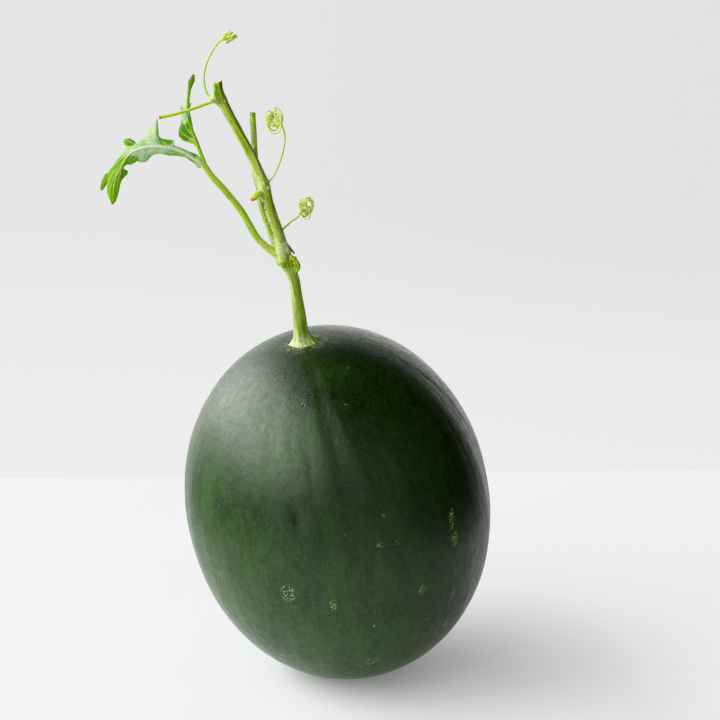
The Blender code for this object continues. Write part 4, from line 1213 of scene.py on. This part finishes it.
def leaf_material():
    """A thin leaf: its own tint with soft darker patches and a slightly puckered skin."""
    material, tree, shader = new_material(
        "leaf", soft=(0.2, (0.5, 1.0, 0.2), 0.0012), Roughness=0.5, Specular_IOR_Level=0.18)
    place = position(tree)
    tint = attribute(tree, "tint")
    patches = grain(tree, place, 300, 3, 0.55)
    darker = mix(tree, 0.5, tint, srgb(84, 132, 20))
    colour = mix(tree, remap(tree, patches, 0.45, 0.7, 0.0, 0.45), tint, darker)
    tree.links.new(colour, shader.inputs["Base Color"])
    bump(tree, shader, patches, 0.5, 0.0002)
    return material


def make_leaf():
    """All lobes and their ribs as one leaf."""
    points, faces, colours = [], [], []
    for name, lobe in LOBES.items():
        tube = Tube(lobe["rib"], STEM_STEP, 14)
        rib_points, rib_faces, rib_vectors = tube.mesh()
        rib = rib_points, rib_faces, stem_colours(tube, RIB_KEYS[name], rib_vectors, rib_points)
        for part_points, part_faces, part_colours in (lobe_sheet(name, lobe), rib):
            first = sum(len(p) for p in points)
            points.append(part_points)
            colours.append(part_colours)
            faces += [tuple(first + i for i in face) for face in part_faces]
    points, colours = np.concatenate(points), np.concatenate(colours)
    make_piece("leaf", points, faces, leaf_material(), ["leaf_blade"], colours)


# Hairs: fine three-sided spines, set at random on the stems

HAIR_RADIUS = 0.000022


def make_hairs(name, material, tufts, seed):
    """Hairs on stretches of tubes, as one piece."""
    rng = np.random.default_rng(seed)
    points, faces = [], []
    for tube, start, end, count, length in tufts:
        ring = (rng.uniform(start, end, count) * (tube.count - 1)).astype(int)
        side = rng.integers(0, tube.sides, count)
        roots = tube.rings[ring, side]
        scatter = rng.normal(0, 0.28, (count, 3))
        directions = unit(tube.outwards[ring, side] + scatter + 0.15 * tube.tangents[ring])
        sideways = unit(np.cross(directions, rng.normal(0, 1, (count, 3))))
        other = np.cross(directions, sideways)
        lengths = (length * rng.uniform(0.5, 1.2, count))[:, None]
        bend = sideways * lengths * rng.uniform(-0.35, 0.35, (count, 1))
        levels = []
        for share, width in ((-0.05, 1.0), (0.5, 0.7)):
            middle = roots + directions * lengths * share + bend * share**2
            for k in range(3):
                angle = 2 * pi * k / 3
                levels.append(middle + HAIR_RADIUS * width * (sideways * cos(angle) + other * sin(angle)))
        levels.append(roots + directions * lengths + bend)
        first = sum(len(p) for p in points)
        points.append(np.stack(levels, axis=1).reshape(-1, 3))
        for i in range(count):
            a = first + 7 * i
            for k in range(3):
                n = (k + 1) % 3
                faces.append((a + k, a + n, a + 3 + n, a + 3 + k))
                faces.append((a + 3 + k, a + 3 + n, a + 6))
            faces.append((a + 2, a + 1, a))
    make_piece(name, np.concatenate(points), faces, material)


def hair_material():
    material, tree, shader = new_material("hairs", Roughness=0.5)
    tone = grain(tree, position(tree), 300, 2, 0.5)
    colour = mix(tree, remap(tree, tone, 0.3, 0.7), srgb(210, 222, 170), srgb(236, 240, 220))
    tree.links.new(colour, shader.inputs["Base Color"])
    return material


# Tendrils: the wire's radius and free part, then the tangle's middle and half sizes, the share of those that
# its loops have, their number and the seed
TENDRILS = {
    "tendril_top": {
        "radius": 0.00056,
        "free": [
            (-0.0650, -0.0164, 0.3494), (-0.0678, -0.0162, 0.3484), (-0.0697, -0.0160, 0.3488),
            (-0.0712, -0.0159, 0.3501), (-0.0725, -0.0159, 0.3525), (-0.0735, -0.0154, 0.3568),
            (-0.0735, -0.0150, 0.3612), (-0.0725, -0.0145, 0.3662), (-0.0703, -0.0140, 0.3716),
            (-0.0672, -0.0135, 0.3766), (-0.0640, -0.0130, 0.3800),
        ],
        "middle": (-0.0600, -0.0120, 0.3820),
        "sizes": (0.0046, 0.0028, 0.0032),
        "curl": 0.5,
        "loops": 9,
        "seed": 7,
    },
    "tendril_middle": {
        "radius": 0.00048,
        "free": [
            (-0.0408, -0.0266, 0.3005), (-0.0390, -0.0266, 0.3021), (-0.0372, -0.0262, 0.3042),
            (-0.0347, -0.0256, 0.3073), (-0.0324, -0.0250, 0.3120), (-0.0305, -0.0244, 0.3175),
            (-0.0291, -0.0240, 0.3231), (-0.0287, -0.0237, 0.3281), (-0.0295, -0.0236, 0.3325),
        ],
        "middle": (-0.0350, -0.0243, 0.3374),
        "sizes": (0.0046, 0.0030, 0.0062),
        "curl": 0.6,
        "loops": 9,
        "seed": 8,
    },
    "tendril_low": {
        "radius": 0.00046,
        "free": [
            (-0.0330, -0.0265, 0.2735), (-0.0316, -0.0236, 0.2746), (-0.0298, -0.0207, 0.2758),
            (-0.0253, -0.0185, 0.2793), (-0.0213, -0.0172, 0.2823),
        ],
        "middle": (-0.0178, -0.0162, 0.2863),
        "sizes": (0.0042, 0.0034, 0.0058),
        "curl": 0.45,
        "loops": 14,
        "seed": 8,
    },
}


def tangle(radius, free, middle, sizes, curl, loops, seed):
    """The free wire, then a wire that keeps looping while the middle of its loops wanders in a ball."""
    rng = random.Random(seed)
    phases = [rng.uniform(0, 2 * pi) for _ in range(6)]
    steps = 10
    wound = []
    for i in range(loops * steps + 1):
        share = i / (loops * steps)
        loop = 2 * pi * i / steps
        wander = [sin(2 * pi * (1.7 + 0.9 * k) * share + phases[k]) for k in range(3)]
        turned = [cos(loop + phases[3]), cos(0.83 * loop + phases[4]), sin(loop + phases[5])]
        tight = curl * (0.75 + 0.5 * sin(9 * share + phases[0]))
        place = [m + s * ((1 - curl) * w + tight * t) for m, s, w, t in zip(middle, sizes, wander, turned)]
        wound.append((*place, 0.85 * radius))
    return [(*point, radius) for point in free] + wound


def tendril_material():
    material, tree, shader = new_material("tendril", soft=(0.3, (0.6, 1.0, 0.3), 0.001), Roughness=0.45)
    along = attribute(tree, "along", "Vector")
    tone = grain(tree, along, 300, 3, 0.6, (1, 1, 0.4))
    colour = mix(tree, remap(tree, tone, 0.35, 0.65), srgb(178, 198, 66), srgb(214, 226, 130))
    colour = mix(tree, 0.6, colour, attribute(tree, "tint"))
    tree.links.new(colour, shader.inputs["Base Color"])
    bump(tree, shader, tone, 0.3, 0.00004)
    return material


TENDRIL_KEYS = [
    (0.00, 206, 214, 150), (0.02, 236, 212, 190), (0.04, 206, 212, 120), (0.06, 160, 182, 40),
    (0.16, 168, 190, 50), (0.3, 186, 204, 80), (1.0, 206, 220, 124),
]


# The radius at a tendril's first places
TENDRIL_ROOT = [0.0012, 0.0010, 0.0008]


def make_tendrils():
    material = tendril_material()
    for name, shape in TENDRILS.items():
        route = tangle(**shape)
        for i, radius in enumerate(TENDRIL_ROOT):
            route[i] = (*route[i][:3], radius)
        tube = Tube(route, TENDRIL_STEP, 8)
        make_stem(f"{name}_wire", tube, TENDRIL_KEYS, material, "tendril", [name])


# Small growths

BRACT_KEYS = [
    (0.0, 190, 206, 110), (0.5, 176, 200, 74), (0.85, 184, 196, 78), (1.0, 206, 130, 70),
]
BRACT_MARKS = [
    ((251.8, 199.5), (2.6, 1.6), srgb(210, 84, 36), 0.9),
    ((255.5, 199.5), (2.4, 1.3), srgb(206, 110, 50), 0.7),
]
DRY_SCALE_KEYS = [
    (0.0, 160, 180, 90), (0.45, 98, 124, 40), (0.75, 120, 116, 60), (0.9, 150, 96, 50), (1.0, 120, 70, 30),
]
FLOWER_KEYS = [
    (0.0, 110, 140, 24), (0.2, 176, 186, 50), (0.35, 92, 122, 16), (0.5, 140, 168, 30),
    (0.65, 96, 132, 14), (0.85, 138, 172, 44), (1.0, 112, 146, 30),
]
# A bead as heights and radii, in shares of its radius
BEAD_PROFILE = [
    (-1.0, 0.2), (-0.75, 0.66), (-0.35, 0.94), (0.0, 1.0), (0.35, 0.94), (0.75, 0.66), (1.0, 0.2),
]
# Beads between the bud and the vine: pixel, y, radius, colour
BUD_BEADS = [
    ((290.5, 256.5), -0.0285, 0.0008, (196, 196, 40)), ((293.5, 259.0), -0.0292, 0.0008, (206, 200, 60)),
    ((291.5, 260.5), -0.0290, 0.0007, (120, 146, 20)), ((295.5, 257.5), -0.0288, 0.0007, (104, 134, 16)),
    ((294.5, 263.5), -0.0294, 0.0006, (232, 234, 206)), ((297.0, 261.5), -0.0292, 0.0007, (168, 184, 40)),
]


def make_growths():
    material = stem_material("growth_skin", 0.4, 0.5, 0.0001)
    bract = Tube(BRACT, FINE_STEP, 28)
    make_stem("bract_scale", bract, BRACT_KEYS, material, "bract", ["bract"], marks=BRACT_MARKS)

    scale = Tube(KNOT_SCALE, FINE_STEP, 20)
    make_stem("dry_scale", scale, DRY_SCALE_KEYS, material, "dry_scale", ["knot_scale"])

    flower = Tube(WITHERED_FLOWER, FINE_STEP, 28, ridged(4, 0.16, 9, 0.05))
    make_stem("withered_bud", flower, FLOWER_KEYS, material, "withered", ["withered_flower"])
    for i, ((column, row), y, radius, colour) in enumerate(BUD_BEADS):
        direction = sight_line(column, row)
        middle = EYE + direction * ((y - EYE.y) / direction.y)
        route = [(*(middle + Vector((0, 0, z * radius))), radius * size) for z, size in BEAD_PROFILE]
        bead = Tube(route, BEAD_STEP, 14, end=[])
        make_stem(f"bud_bead_{i}", bead, [(0.0, *colour), (1.0, *colour)], material, "withered")


bpy.context.scene.view_settings.view_transform = "Khronos PBR Neutral"
bpy.context.scene.cycles.use_denoising = True
make_camera()
make_world()
make_floor()
for window, place_and_size in WINDOWS.items():
    make_window(window, *place_and_size)
make_fruit()
stalk, vine, cut, leaf_stalk = make_stems()
make_leaf()
make_tendrils()
make_growths()
hair_skin = hair_material()
# Tufts of hairs: the stem, where they start and end along it, how many they are and their length
make_hairs("vine_hairs", hair_skin, [
    (vine, 0.0, 0.17, 2600, 0.0009), (vine, 0.17, 0.55, 2600, 0.0007), (vine, 0.38, 0.5, 700, 0.0012),
    (vine, 0.55, 0.97, 600, 0.0005), (vine, 0.82, 0.9, 400, 0.0010),
], 11)
make_hairs("leaf_stalk_hairs", hair_skin, [
    (cut, 0.0, 0.6, 2200, 0.0009), (cut, 0.6, 1.0, 600, 0.0005), (leaf_stalk, 0.0, 0.2, 500, 0.0009),
    (leaf_stalk, 0.2, 1.0, 700, 0.0004),
], 12)
make_hairs("stalk_hairs", hair_skin, [(stalk, 0.2, 0.95, 900, 0.0004)], 13)
